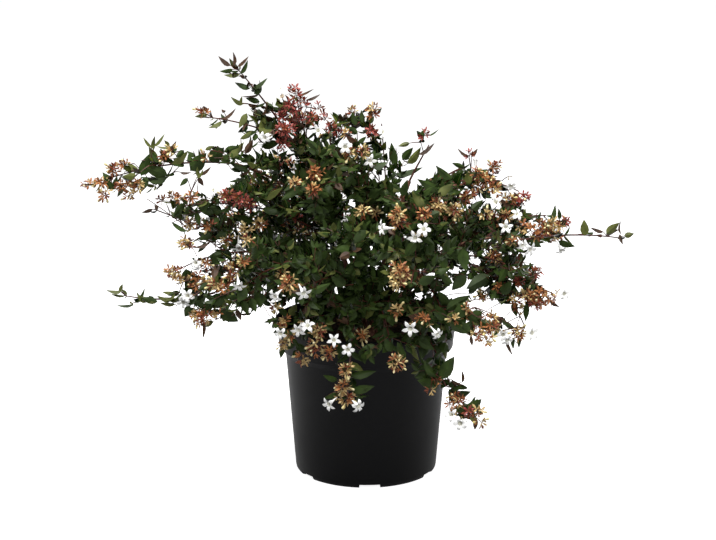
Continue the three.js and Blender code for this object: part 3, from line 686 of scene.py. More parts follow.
def grow_shoot(shoot):
    chance = Dice(shoot.index)
    line = shoot.line
    tubes.append(Tube(line.points, SHOOT_ROOT_RADIUS, SHOOT_TIP_RADIUS, 6))
    start = shoot.index % 2
    for node, s in enumerate(np.arange(FIRST_NODE, line.length - LAST_NODE, NODE_SPACING)):
        share = s / line.length
        turn = ((node // 2 + start) % 2) * QUARTER + (node % 2) * QUARTER
        leaf_pair(line, share, turn, LEAF_LENGTH * (1 - LEAF_SHRINK * share), share**2, chance)
        carriers.append((line.at(share), shoot.index))
        if node % 2:
            continue
        long = TWIG_SHARE * line.length * (1 - share) + TWIG_EXTRA
        full = min(max(long, TWIG_LEAST), TWIG_MOST) if node % 4 == 0 else SHORT_TWIG
        for flip in (0, math.pi):
            length = full * shoot.spread * chance.between(*TWIG_SIZES)
            side_turn = turn + QUARTER + flip
            grow_side(line, share + TWIG_PAST_NODE, side_turn, length, shoot.index, chance, SIDE_TWIG)
    end = line.at(1)
    tangent = line.tangent(1)
    add_leaf(end, tangent, light_side(end), TIP_LEAF_REACH * TIP_LEAF_SHARE, 1, chance)
    leaf_pair(line, TIP_PAIR_AT, chance.between(0, QUARTER), TIP_PAIR_LEAF, 1, chance)
    tips.append(Tip(end, tangent, shoot.index))
    carriers.append((end, shoot.index))


def grow_inner_twigs(limb, seed):
    """Leafy twigs straight from a cane or bough, which fill the middle of the crown."""
    chance = Dice(seed)
    line = limb.line
    for node, s in enumerate(np.arange(LIMB_BARE_ROOT, line.length, LIMB_NODE_SPACING)):
        share = s / line.length
        for flip in (0, math.pi):
            turn = node * QUARTER + flip + chance.within(LIMB_TWIG_SWING)
            length = chance.between(*LIMB_TWIG_LENGTHS)
            out = sideways(line.tangent(share), turn)
            ahead = line.at(share) + out * length * LIMB_TWIG_REACHED + UP * LIMB_TWIG_RISE
            owner = int(shoot_stretches.owner[np.argmin(shoot_stretches.distances(ahead[None])[0])])
            grow_side(line, share, turn, length, owner, chance, LIMB_TWIG)


for shoot in shoots:
    grow_shoot(shoot)
for number, limb in enumerate(limbs.values()):
    grow_inner_twigs(limb, LIMB_SEED + number)


# Blossom and leaves: where they show in the photograph

# Trusses that show, by tint: pixels across and down, and how wide each looks.
TRUSSES_SEEN = {
    "red": [
        (295, 93, 17), (290, 107, 22), (304, 103, 15), (285, 131, 24), (312, 119, 14), (324, 116, 12),
        (338, 132, 12), (372, 132, 15), (425, 134, 9), (240, 200, 20), (226, 195, 17), (250, 205, 14),
        (524, 197, 13), (518, 203, 10), (565, 221, 12), (297, 218, 9), (536, 273, 13), (519, 281, 12),
        (469, 412, 11), (470, 155, 9), (283, 117, 16), (297, 119, 14), (283, 145, 15), (318, 107, 9),
        (330, 127, 12), (536, 304, 10),
    ],
    "copper": [
        (100, 183, 16), (114, 170, 17), (124, 164, 12), (122, 186, 16), (138, 184, 13), (165, 157, 13),
        (203, 112, 12), (206, 158, 9), (180, 199, 11), (172, 196, 10), (209, 226, 12), (198, 222, 12),
        (373, 110, 16), (352, 112, 10), (295, 183, 13), (192, 197, 12), (162, 200, 9), (187, 243, 14),
        (184, 240, 9), (346, 134, 10), (484, 178, 12), (478, 186, 12), (490, 182, 12), (466, 200, 12),
        (496, 192, 10), (196, 276, 12), (196, 314, 12), (176, 273, 17), (207, 264, 16), (231, 268, 16),
        (282, 273, 12), (494, 167, 16), (477, 172, 12), (470, 195, 15), (508, 198, 14), (525, 226, 14),
        (540, 224, 13), (494, 257, 18), (513, 241, 11), (550, 298, 16), (540, 303, 12), (222, 288, 17),
        (198, 284, 16), (315, 173, 22), (313, 190, 17), (172, 271, 15), (180, 280, 14), (494, 327, 12),
        (466, 308, 12), (532, 296, 13), (531, 229, 12), (546, 230, 13), (558, 227, 12), (538, 236, 10),
        (499, 287, 10), (540, 292, 12), (201, 319, 14), (217, 314, 10), (288, 284, 22), (284, 321, 13),
        (464, 313, 15), (491, 317, 14), (424, 319, 14), (459, 402, 13), (451, 405, 7), (437, 380, 8),
        (399, 218, 27), (425, 215, 15), (505, 215, 14), (130, 195, 13),
    ],
    "gold": [
        (245, 230, 14), (260, 225, 15), (248, 240, 12), (349, 153, 14), (363, 152, 15), (362, 212, 16),
        (376, 214, 13), (400, 271, 24), (397, 281, 20), (421, 281, 13), (437, 206, 19), (454, 212, 26),
        (493, 188, 13), (487, 214, 12), (551, 224, 13), (527, 295, 16), (397, 311, 14), (484, 331, 20),
        (519, 333, 15), (315, 346, 20), (329, 352, 18), (303, 359, 17), (362, 335, 16), (403, 275, 18),
        (346, 370, 18), (343, 387, 20), (347, 399, 18), (397, 363, 22), (319, 331, 18), (88, 184, 11),
        (104, 194, 14), (138, 188, 12), (482, 295, 12), (172, 150, 9), (431, 390, 7), (215, 285, 15),
        (232, 276, 14), (244, 262, 12), (205, 318, 16), (284, 344, 12), (290, 336, 12), (455, 396, 11),
        (478, 411, 13), (481, 422, 9), (228, 240, 12), (276, 308, 12), (478, 335, 12), (455, 319, 10),
        (515, 300, 13), (190, 246, 9), (488, 341, 11), (190, 224, 14), (519, 334, 12), (206, 282, 12),
        (521, 309, 12),
    ],
}
# Flowers that show: pixels across and down at the mouth, the way the mouth opens on the picture
# in degrees from the right, and the share of it that is towards the viewer.
FLOWERS_SEEN = [
    (279, 88, 110, 0.6), (264, 138, 215, 0.6), (318, 130, 100, 0.8), (345, 147, 250, 0.85),
    (370, 161, 280, 0.75), (384, 132, 20, 0.5), (239, 249, 275, 0.35), (195, 263, 200, 0.7),
    (239, 287, 280, 0.4), (187, 296, 200, 0.8), (183, 303, 250, 0.6), (274, 297, 225, 0.5),
    (304, 294, 300, 0.5), (280, 334, 240, 0.7), (298, 331, 250, 0.6), (307, 325, 120, 0.6),
    (334, 340, 60, 0.85), (348, 350, 310, 0.9), (410, 329, 240, 0.75), (438, 335, 310, 0.45),
    (328, 405, 218, 0.5), (359, 407, 318, 0.5), (506, 227, 290, 0.9), (518, 214, 30, 0.6),
    (495, 202, 170, 0.7), (511, 187, 275, 0.5), (415, 238, 235, 0.8), (424, 229, 60, 0.8),
    (503, 335, 240, 0.8), (508, 341, 300, 0.5), (533, 333, 0, 0.6), (565, 294, 340, 0.7),
    (531, 250, 320, 0.5), (460, 424, 230, 0.75), (451, 415, 200, 0.75), (212, 190, 150, 0.6),
    (381, 228, 180, 0.3), (523, 246, 300, 0.5),
]
# Leaves that stand out, by tint: pixels across and down at the root and at the tip, and how wide
# each looks.
LEAVES_SEEN = {
    "bronze": [
        (231, 66, 218, 57, 5), (233, 66, 235, 52, 4), (237, 67, 249, 57, 4), (198, 177, 203, 186, 5),
        (180, 172, 192, 175, 3), (199, 175, 212, 168, 4), (245, 154, 253, 139, 7), (153, 209, 142, 213, 4),
        (471, 157, 478, 149, 4), (470, 156, 456, 151, 3), (523, 204, 513, 192, 5), (604, 232, 591, 227, 4),
        (621, 234, 617, 221, 3), (620, 234, 622, 245, 4), (550, 300, 559, 308, 4), (506, 338, 512, 356, 4),
        (203, 322, 202, 338, 4), (418, 155, 434, 143, 4), (451, 379, 462, 388, 3), (462, 383, 463, 370, 3),
        (476, 420, 475, 430, 5), (208, 112, 203, 106, 4), (222, 119, 237, 110, 4), (166, 152, 178, 142, 5),
        (512, 209, 498, 198, 6), (296, 96, 314, 90, 3), (306, 100, 320, 94, 3), (209, 242, 194, 252, 4),
        (186, 238, 190, 249, 4), (250, 168, 240, 178, 3), (471, 336, 472, 346, 4),
    ],
    "olive": [
        (240, 74, 224, 76, 5), (244, 104, 230, 99, 5), (247, 113, 239, 128, 7), (264, 117, 259, 134, 7),
        (222, 121, 210, 131, 5), (208, 114, 195, 117, 5), (171, 164, 190, 152, 8), (229, 158, 244, 143, 8),
        (240, 139, 252, 131, 5), (122, 291, 106, 294, 4), (119, 292, 123, 284, 4), (410, 143, 398, 146, 5),
        (407, 164, 422, 148, 8), (424, 208, 412, 191, 9), (585, 236, 585, 220, 9), (606, 234, 619, 222, 8),
        (624, 236, 634, 234, 6), (470, 184, 466, 172, 8), (260, 197, 284, 190, 8), (438, 196, 452, 184, 9),
        (262, 170, 277, 160, 7), (176, 293, 162, 291, 4), (241, 104, 241, 96, 3), (297, 154, 305, 146, 8),
        (424, 260, 404, 256, 7), (290, 316, 296, 304, 9), (152, 148, 143, 138, 3), (153, 147, 164, 134, 3),
        (154, 150, 152, 136, 4), (128, 187, 143, 179, 6), (172, 300, 156, 298, 5), (205, 150, 214, 146, 4),
        (155, 303, 141, 296, 6), (146, 303, 134, 294, 4), (199, 178, 197, 167, 4), (196, 178, 205, 170, 3),
        (180, 301, 164, 298, 5), (176, 304, 160, 302, 4),
    ],
    "mid": [
        (221, 311, 238, 322, 13), (180, 292, 168, 296, 6), (440, 190, 417, 180, 9), (513, 302, 517, 317, 7),
        (526, 303, 526, 321, 6), (440, 379, 455, 358, 14), (438, 387, 416, 380, 11),
        (350, 376, 376, 372, 8), (351, 391, 374, 387, 9), (338, 380, 322, 377, 6), (337, 393, 325, 399, 5),
        (168, 163, 160, 149, 8), (300, 186, 282, 200, 9), (318, 150, 306, 138, 7), (368, 198, 384, 188, 9),
        (340, 304, 364, 296, 9), (222, 212, 208, 205, 9), (254, 222, 232, 216, 9), (262, 208, 284, 214, 8),
        (310, 292, 330, 284, 8), (490, 275, 466, 290, 14), (440, 318, 452, 298, 12),
        (456, 320, 466, 302, 12), (446, 322, 434, 304, 11), (228, 232, 214, 240, 9),
        (418, 340, 434, 350, 9), (448, 320, 432, 312, 8), (292, 238, 274, 246, 8), (168, 177, 141, 182, 7),
        (196, 303, 182, 298, 8), (212, 300, 202, 314, 10), (224, 152, 240, 146, 8), (230, 169, 254, 166, 7),
        (470, 317, 456, 303, 11), (448, 305, 439, 291, 9), (402, 160, 413, 147, 8), (184, 203, 174, 216, 8),
        (214, 214, 198, 208, 8), (198, 209, 212, 203, 6), (212, 232, 199, 241, 9), (446, 310, 470, 296, 12),
        (204, 262, 192, 258, 6), (222, 254, 208, 258, 8), (200, 276, 188, 284, 7), (226, 234, 212, 222, 8),
    ],
    "deep": [
        (240, 74, 249, 61, 5), (233, 69, 220, 73, 5), (250, 89, 235, 83, 6), (251, 89, 267, 78, 5),
        (254, 94, 262, 88, 6), (260, 102, 246, 98, 6), (266, 104, 275, 108, 5), (272, 121, 265, 133, 7),
        (141, 176, 150, 155, 12), (168, 175, 143, 168, 12), (190, 171, 207, 154, 15),
        (209, 161, 224, 147, 14), (250, 171, 229, 163, 6), (245, 177, 229, 181, 3), (188, 231, 169, 227, 3),
        (134, 304, 117, 307, 3), (134, 303, 148, 290, 3), (158, 302, 142, 298, 7), (195, 308, 184, 316, 7),
        (217, 265, 212, 253, 7), (242, 300, 248, 315, 8), (250, 298, 257, 312, 8), (276, 318, 264, 323, 4),
        (283, 346, 280, 358, 6), (396, 166, 391, 143, 9), (424, 139, 416, 131, 6), (428, 136, 439, 130, 2),
        (394, 174, 422, 167, 6), (402, 197, 407, 179, 8), (464, 167, 452, 163, 5), (540, 224, 539, 211, 4),
        (486, 200, 480, 186, 4), (549, 225, 555, 205, 5), (559, 220, 560, 208, 4), (531, 220, 523, 214, 4),
        (558, 241, 575, 247, 7), (530, 240, 541, 247, 8), (456, 327, 467, 334, 7), (462, 248, 466, 272, 12),
        (449, 248, 462, 262, 9), (452, 284, 440, 276, 8), (418, 284, 436, 276, 10),
        (416, 242, 404, 256, 10), (436, 377, 420, 361, 8), (451, 398, 471, 392, 9),
        (468, 412, 481, 398, 11), (427, 334, 421, 360, 12), (455, 408, 467, 413, 7),
        (261, 147, 282, 141, 9), (392, 352, 384, 338, 9), (404, 362, 398, 342, 9), (508, 262, 500, 284, 9),
        (466, 275, 452, 290, 12), (430, 288, 444, 284, 12), (502, 295, 511, 280, 11),
        (472, 316, 481, 311, 8), (480, 321, 492, 326, 8), (500, 300, 512, 304, 4), (212, 305, 228, 293, 12),
        (258, 292, 262, 308, 12), (246, 288, 238, 302, 11), (184, 281, 187, 269, 8),
        (112, 190, 104, 177, 7), (112, 190, 118, 176, 6), (440, 212, 424, 218, 8), (356, 176, 346, 188, 11),
        (452, 179, 433, 168, 8), (147, 176, 141, 192, 8), (205, 296, 193, 306, 9), (190, 306, 185, 316, 8),
        (479, 322, 465, 314, 9), (462, 331, 448, 322, 9), (519, 337, 519, 348, 4), (206, 242, 198, 253, 5),
        (346, 126, 338, 114, 6), (356, 126, 352, 112, 6), (364, 124, 362, 110, 5), (348, 122, 360, 116, 6),
        (374, 132, 366, 122, 6), (358, 134, 346, 126, 7), (340, 122, 332, 112, 6), (376, 150, 372, 140, 6),
        (182, 208, 174, 218, 6), (172, 222, 186, 230, 4), (190, 286, 184, 270, 7), (210, 284, 198, 290, 8),
        (196, 212, 200, 226, 6), (430, 286, 445, 289, 10), (432, 299, 446, 296, 7), (188, 178, 180, 186, 5),
        (470, 332, 462, 322, 7), (498, 330, 489, 322, 7), (486, 300, 476, 292, 6), (196, 292, 186, 284, 7),
        (204, 307, 194, 300, 7), (172, 146, 164, 154, 5), (184, 150, 176, 158, 6), (366, 230, 352, 244, 10),
        (346, 286, 332, 276, 11),
    ],
}
# Leafy twigs at the crown's edge: pixels across and down where each leaves the foliage, and at its tip.
SPRAYS_SEEN = [
    (250, 290, 226, 306), (262, 280, 236, 294), (240, 285, 214, 299), (262, 298, 248, 314),
    (230, 262, 206, 272), (232, 245, 207, 242), (215, 225, 190, 222), (214, 290, 188, 300),
    (200, 300, 174, 293), (206, 305, 191, 319), (226, 308, 212, 324), (264, 305, 276, 328),
    (255, 262, 232, 276), (240, 228, 215, 231), (200, 212, 178, 216), (198, 200, 172, 199),
    (222, 276, 204, 290), (246, 300, 232, 316), (212, 262, 196, 272), (230, 300, 206, 312),
    (150, 172, 128, 184), (148, 180, 124, 172), (140, 184, 116, 190), (165, 174, 152, 188),
    (160, 168, 140, 160), (470, 285, 498, 300), (480, 270, 512, 264), (452, 300, 478, 320),
    (442, 312, 462, 328), (470, 312, 498, 328), (490, 318, 518, 330), (500, 290, 530, 300),
    (510, 280, 540, 286), (478, 322, 472, 340), (500, 322, 514, 338), (448, 308, 440, 330),
    (430, 300, 452, 316), (462, 306, 486, 322), (446, 320, 464, 330), (520, 296, 546, 304),
    (436, 362, 424, 378), (446, 384, 462, 396), (456, 398, 470, 414), (452, 394, 450, 410),
    (464, 404, 480, 410), (436, 360, 446, 372), (440, 370, 430, 386), (276, 128, 258, 142),
    (196, 282, 176, 286), (204, 284, 186, 276), (200, 300, 184, 306), (206, 312, 190, 314),
    (470, 300, 452, 312), (466, 318, 448, 312), (500, 318, 482, 314), (520, 300, 500, 296),
    (510, 312, 500, 326), (236, 166, 214, 158), (330, 130, 344, 116), (350, 128, 362, 112),
    (366, 128, 378, 112), (400, 160, 396, 148), (320, 116, 312, 104),
]
# Long bare stems: pixels across and down where each leaves the foliage, and at its tip.
STEMS_SEEN = [(190, 230, 147, 199), (222, 250, 204, 238), (446, 386, 440, 374)]

# What is placed by a pixel keeps ahead of its twig, in millimetres, and shares are of its own size.
SPUR_MOST = 75
SPUR_RADIUS = 0.85
SPUR_TIP_RADIUS = 0.55
SPUR_BOW = 0.05
SPUR_LEAFY_FROM = 22
SPUR_LEAF = 24
SPUR_LEAF_AGE = 0.6
TRUSS_AHEAD = (12, 20)
TRUSS_STALK = 0.4
TRUSS_OUTWARDS = 0.8
TRUSS_BARE = 0.45
CROWN_HEART = np.array([0, 0, 320.0])
FLOWER_DEEP = 24
FLOWER_AHEAD = (30, 38)
FLOWER_USUAL_DEPTH = 2800
FLOWER_BARE_PIXELS = 7.5
FLOWER_BARE_BACK = 10
LEAF_AHEAD = 9
LEAF_NARROWEST = 0.8
LEAF_OVERSHOOT = 1.05
LEAF_STALK = 1.5
WIDE_LEAF_PIXELS = 8
WIDE_LEAF_BARE = 0.4
WIDE_LEAF_BARE_AHEAD = 2
SPRAY_AHEAD = (4, 12)
SPRAY_BOW = (0.02, 0.1)
SPRAY_RADIUS = 0.8
SPRAY_BARE_ROOT = 7
SPRAY_SPACING = 9
SPRAY_LEAF = 27
SPRAY_TURN = 0.4
SPRAY_TAPER = 0.25
SPRAY_TIP_LEAF = 0.7
STEM_AHEAD = 4
STEM_BOW = 0.02
STEM_RADII = (1.0, 0.95, 0.6)
# How a twig is chosen: within some pixels where there is one, and rather towards the viewer.
CARRIER_WITHIN = 42
CARRIER_DEPTH_COST = 0.07
CARRIER_FAR_COST = 1000

# Blossom where the photograph doesn't show it: chances by the distance behind the pot's axis.
HIDDEN_FROM = 90
HIDDEN_CLEAR = 16
SLENDER_SPREAD = 0.7
BEHIND = 40
BEHIND_CHANCE = 0.32
BESIDE_CHANCE = 0.1
HIDDEN_FLOWER_CHANCE = 0.42
HIDDEN_WIDTHS = (16, 32)
HIDDEN_TINTS = ("red", "copper", "copper", "gold")
HIDDEN_BOX_CLEAR = 12
HIDDEN_FLOWER_FORWARD = 0.5
HIDDEN_FLOWER_OUT = 5
HIDDEN_STALK = 6
HIDDEN_STALK_RADIUS = 0.5

carrier_places = np.array([c[0] for c in carriers])
carrier_across, carrier_down, carrier_depth = on_picture(carrier_places)
Truss = namedtuple("Truss", "middle heading width tint")
Flower = namedtuple("Flower", "mouth heading")
Bare = namedtuple("Bare", "across down depth radius")
trusses = []
flowers = []
bare_spots = []  # no leaf hides these spots of the picture


def carrier_behind(across, down):
    """The twig that a thing seen at a pixel grows from: near it, and towards the viewer."""
    apart = np.hypot(carrier_across - across, carrier_down - down)
    cost = apart + CARRIER_DEPTH_COST * (carrier_depth - carrier_depth.min())
    return int(np.argmin(np.where(apart < CARRIER_WITHIN, cost, cost + CARRIER_FAR_COST)))


def too_far(carrier, place):
    return np.linalg.norm(place - carrier_places[carrier]) > SPUR_MOST


def grow_spur(carrier, end, chance):
    """A short twig from a carrier to what it bears, with a pair of leaves where there is a chance."""
    spur = arched(carrier_places[carrier], end, SPUR_BOW, TWIG_STEP)
    tubes.append(Tube(spur.points, SPUR_RADIUS, SPUR_TIP_RADIUS, 4))
    if chance and spur.length > SPUR_LEAFY_FROM:
        leaf_pair(spur, 0.5, chance.between(0, math.pi), SPUR_LEAF, SPUR_LEAF_AGE, chance)


def place_seen_trusses():
    chance = Dice(TRUSS_SEED)
    for tint, rows in TRUSSES_SEEN.items():
        for across, down, width in rows:
            carrier = carrier_behind(across, down)
            depth = carrier_depth[carrier] - chance.between(*TRUSS_AHEAD)
            middle = behind_pixel(across, down, depth)
            if too_far(carrier, middle):
                continue
            breadth = span(width, depth)
            outwards = unit(middle - carrier_places[carrier] + TINY)
            heading = unit(outwards + unit(middle - CROWN_HEART) * TRUSS_OUTWARDS)
            grow_spur(carrier, middle - heading * breadth * TRUSS_STALK, chance)
            trusses.append(Truss(middle, heading, breadth, tint))
            bare_spots.append(Bare(across, down, depth, width * TRUSS_BARE))


def place_seen_flowers():
    chance = Dice(FLOWER_SEED)
    for across, down, turn, towards in FLOWERS_SEEN:
        way = math.radians(turn)
        flat = VIEW_RIGHT * math.cos(way) + VIEW_UP * math.sin(way)
        heading = unit(flat * (1 - towards) - VIEW_AHEAD * towards)
        deep = FLOWER_DEEP * (heading @ flat) * FOCAL_PIXELS / FLOWER_USUAL_DEPTH
        carrier = carrier_behind(across - math.cos(way) * deep, down + math.sin(way) * deep)
        depth = carrier_depth[carrier] - chance.between(*FLOWER_AHEAD)
        mouth = behind_pixel(across, down, depth)
        base = mouth - heading * FLOWER_DEEP
        if too_far(carrier, base):
            continue
        grow_spur(carrier, base, chance)
        flowers.append(Flower(mouth, heading))
        bare_spots.append(Bare(across, down, depth + FLOWER_BARE_BACK, FLOWER_BARE_PIXELS))


def place_seen_leaves():
    """Leaves whose outline matches what the photograph shows. Each grows from a twig behind it."""
    for tint, rows in LEAVES_SEEN.items():
        for across, down, tip_across, tip_down, width in rows:
            carrier = carrier_behind(across, down)
            depth = carrier_depth[carrier] - LEAF_AHEAD
            root = behind_pixel(across, down, depth)
            way = behind_pixel(tip_across, tip_down, depth) - root
            if too_far(carrier, root):
                continue
            length = np.linalg.norm(way)
            broad = max(span(width, depth), length * LEAF_WIDTH_SHARE * LEAF_NARROWEST)
            shown = min(1, span(width, depth) / broad)
            side = np.cross(unit(way), VIEW_AHEAD)
            side = side if side[2] > 0 else -side
            facing = side * math.sqrt(1 - shown**2) - VIEW_AHEAD * shown
            leaves.append(Leaf(root, unit(way), facing, length * LEAF_OVERSHOOT, broad, tint, True))
            grow_spur(carrier, root + unit(way) * LEAF_STALK, None)
            if width >= WIDE_LEAF_PIXELS:
                middle = ((across + tip_across) / 2, (down + tip_down) / 2)
                bare_spots.append(Bare(*middle, depth - WIDE_LEAF_BARE_AHEAD, width * WIDE_LEAF_BARE))


def place_seen_sprays():
    """Leafy twigs from the nearest twig to where the photograph shows leaves at the crown's edge."""
    chance = Dice(SPRAY_SEED)
    for across, down, tip_across, tip_down in SPRAYS_SEEN:
        carrier = carrier_behind(across, down)
        tip = behind_pixel(tip_across, tip_down, carrier_depth[carrier] - chance.between(*SPRAY_AHEAD))
        twig = arched(carrier_places[carrier], tip, chance.between(*SPRAY_BOW), TWIG_STEP)
        if twig.length > SPUR_MOST or not clear_of_pot(twig.points).all():
            continue
        tubes.append(Tube(twig.points, SPRAY_RADIUS, TWIG_TIP_RADIUS, 4))
        for k, s in enumerate(np.arange(SPRAY_BARE_ROOT, twig.length, SPRAY_SPACING)):
            share = s / twig.length
            size = SPRAY_LEAF * (1 - SPRAY_TAPER * share)
            leaf_pair(twig, share, k * QUARTER + SPRAY_TURN, size, share, chance)
        add_leaf(tip, twig.tangent(1), light_side(tip), SPRAY_LEAF * SPRAY_TIP_LEAF, 1, chance)


def place_seen_stems():
    base, bent, end = STEM_RADII
    for across, down, tip_across, tip_down in STEMS_SEEN:
        carrier = carrier_behind(across, down)
        depth = carrier_depth[carrier] - STEM_AHEAD
        bend = behind_pixel(across, down, depth)
        tip = behind_pixel(tip_across, tip_down, depth)
        tubes.append(Tube(np.array([carrier_places[carrier], bend]), base, bent, 5))
        tubes.append(Tube(arched(bend, tip, STEM_BOW, SHOOT_STEP).points, bent, end, 5))


def place_hidden_blossom():
    """Trusses and flowers at twig tips by the rule, mostly on the sides that the photograph hides."""
    chance = Dice(HIDDEN_SEED)
    for place, heading, owner in tips:
        clear = clear_of_pot(place[None] + heading * HIDDEN_CLEAR)[0]
        if np.hypot(place[0], place[1]) < HIDDEN_FROM or not clear:
            continue
        share = BEHIND_CHANCE if place[1] > BEHIND else BESIDE_CHANCE if place[1] > 0 else 0
        if chance.roll() > share or shoots[owner].spread < SLENDER_SPREAD:
            continue
        breadth = chance.between(*HIDDEN_WIDTHS)
        tint = HIDDEN_TINTS[int(chance.roll() * 4)]
        middle = place + heading * breadth * TRUSS_STALK
        if (middle < box_low + HIDDEN_BOX_CLEAR).any() or (middle > box_high - HIDDEN_BOX_CLEAR).any():
            continue
        sides = [middle + way * breadth * TRUSS_STALK for way in (VIEW_UP, VIEW_RIGHT, -VIEW_RIGHT)]
        if not within_outline(np.array(sides)).all():
            continue
        trusses.append(Truss(middle, heading, breadth, tint))
        if chance.roll() < HIDDEN_FLOWER_CHANCE and place[1] > BEHIND:
            around = sideways(heading, chance.between(0, 2 * math.pi))
            outward = unit(around + heading * HIDDEN_FLOWER_FORWARD)
            flowers.append(Flower(middle + outward * (FLOWER_DEEP + HIDDEN_FLOWER_OUT), outward))
            stalk = np.array([middle, middle + outward * HIDDEN_STALK])
            tubes.append(Tube(stalk, HIDDEN_STALK_RADIUS, HIDDEN_STALK_RADIUS, 3))


place_seen_trusses()
place_seen_flowers()
place_seen_leaves()
place_seen_sprays()
place_seen_stems()
place_hidden_blossom()


# Shapes: small forms drawn once, with a forward axis, and stamped where they grow
class Form:
    """A small closed shape: across on X, forward on Y, and its upper side on Z."""

    def __init__(self, corners, faces, finishes=None):
        self.corners = np.asarray(corners, float)
        self.loops = np.array([i for face in faces for i in face])
        self.sizes = np.array([len(face) for face in faces])
        self.finishes = np.zeros(len(faces), int) if finishes is None else np.array(finishes)


class Heap:
    """Corners and faces gathered for one joined mesh. A face has a finish number."""

    def __init__(self):
        self.corners = []
        self.loops = []
        self.sizes = []
        self.finishes = []
        self.count = 0

    def add(self, corners, loops, sizes, finishes):
        self.corners.append(corners)
        self.loops.append(loops + self.count)
        self.sizes.append(sizes)
        self.finishes.append(finishes)
        self.count += len(corners)

    def stamp(self, form, places, frames, scales):
        """One copy of a form at each place, turned by its frame and sized by its scale."""
        copies = len(places)
        if not copies:
            return
        spots = np.einsum("mk,nkj->nmj", form.corners, frames * scales[:, :, None]) + places[:, None, :]
        step = np.arange(copies)[:, None] * len(form.corners)
        loops = (form.loops + step).ravel()
        self.add(spots.reshape(-1, 3), loops, np.tile(form.sizes, copies), np.tile(form.finishes, copies))


def band(low, high, sides):
    """Faces between two rings of corners, each given by the number of its first corner."""
    pairs = [(k, (k + 1) % sides) for k in range(sides)]
    return [(low + k, low + n, high + n, high + k) for k, n in pairs]


def pointed_faces(rings, sides):
    """Faces of a closed form whose corners are a point, some rings and another point."""
    last = 1 + rings * sides
    top = last - sides
    faces = []
    for k in range(sides):
        n = (k + 1) % sides
        faces += [(0, 1 + n, 1 + k), (last, top + k, top + n)]
    for low in range(1, top, sides):
        faces += band(low, low + sides, sides)
    return faces


def ring_corners(along, radius, sides):
    turns = [2 * math.pi * k / sides for k in range(sides)]
    return [(radius * math.cos(turn), along, -radius * math.sin(turn)) for turn in turns]


# Leaf: rows from stalk to point, each a share of the length and of the half width, and columns
# from edge to edge with the rib between the middle two. A keel under each row closes the leaf.
LEAF_ROWS = [(0.05, 0.16), (0.17, 0.74), (0.36, 1.0), (0.6, 0.84), (0.83, 0.4)]
LEAF_COLUMNS = [-1, -0.5, -0.045, 0.045, 0.5, 1]
LEAF_KEEL = 6
RIB_STRIP = 2
LEAF_THICK = 0.014
FOLD_AT_RIB = 1.25
FOLD_EASED = 0.35
ARCH_SHORTENS = 0.25
UPPER, RIB, UNDER = 0, 1, 2
# Each form's fold along the rib, its arch, and its sway to one side.
LEAF_SHAPES = [
    (0.4, 0.12, 0.03), (0.62, 0.22, -0.04), (0.24, 0.06, 0), (0.5, -0.04, 0.05), (0.34, 0.3, -0.03),
]


def leaf_form(fold, arch, sway):
    """A pointed leaf of length 1, folded along its rib and arched down along its length."""

    def spot(across, along, wide, drop=0.0):
        x = across * wide / 2 + sway * along**2 / LEAF_WIDTH_SHARE
        steep = FOLD_AT_RIB - FOLD_EASED * abs(across)
        crown = fold * abs(across) * wide * LEAF_WIDTH_SHARE / 2 * steep
        return (x, along * (1 - ARCH_SHORTENS * abs(arch)), crown - arch * along**2 - drop)

    def near(r, c):
        return 1 + r * (len(LEAF_COLUMNS) + 1) + c

    corners = [spot(0, 0, 0)]
    for along, wide in LEAF_ROWS:
        corners += [spot(across, along, wide) for across in LEAF_COLUMNS]
        corners.append(spot(0, along, wide, LEAF_THICK))
    corners.append(spot(0, 1, 0))
    point = len(corners) - 1
    end = len(LEAF_ROWS) - 1
    faces, finishes = [], []
    for c in range(len(LEAF_COLUMNS) - 1):
        faces += [(0, near(0, c + 1), near(0, c)), (point, near(end, c), near(end, c + 1))]
        faces += [(near(r, c), near(r, c + 1), near(r + 1, c + 1), near(r + 1, c)) for r in range(end)]
        finishes += [RIB if c == RIB_STRIP else UPPER] * (end + 2)
    for edge, keel in ((0, LEAF_KEEL), (LEAF_KEEL, len(LEAF_COLUMNS) - 1)):
        faces += [(0, near(0, edge), near(0, keel)), (point, near(end, keel), near(end, edge))]
        faces += [(near(r, edge), near(r + 1, edge), near(r + 1, keel), near(r, keel)) for r in range(end)]
        finishes += [UNDER] * (end + 2)
    return Form(corners, faces, finishes)


LEAF_FORMS = [leaf_form(*shape) for shape in LEAF_SHAPES]

# Sepal: a narrow blade, curled along its length, in millimetres, with two rows of four corners.
SEPAL_LENGTH = 9.5
SEPAL_HALF_WIDTH = 1.6
SEPAL_ROWS = ((0.3, 0.75), (0.7, 1.0))
SEPAL_SECTION = ((-1, 0), (0, 0.22), (1, 0), (0, -0.22))
SEPAL_CURL = 0.012
# Each form's count of sepals, how far they spread, and where the first one is.
CALYX_SHAPES = [(5, 0.75, 0), (4, 0.95, 0.4), (5, 0.55, 1.1), (3, 0.8, 0.2)]
# Sepals of one calyx lean unevenly, by these shares of its spread.
SEPAL_LEANS = [0.85 + 0.3 * ((k * 7) % 5) / 4 for k in range(5)]


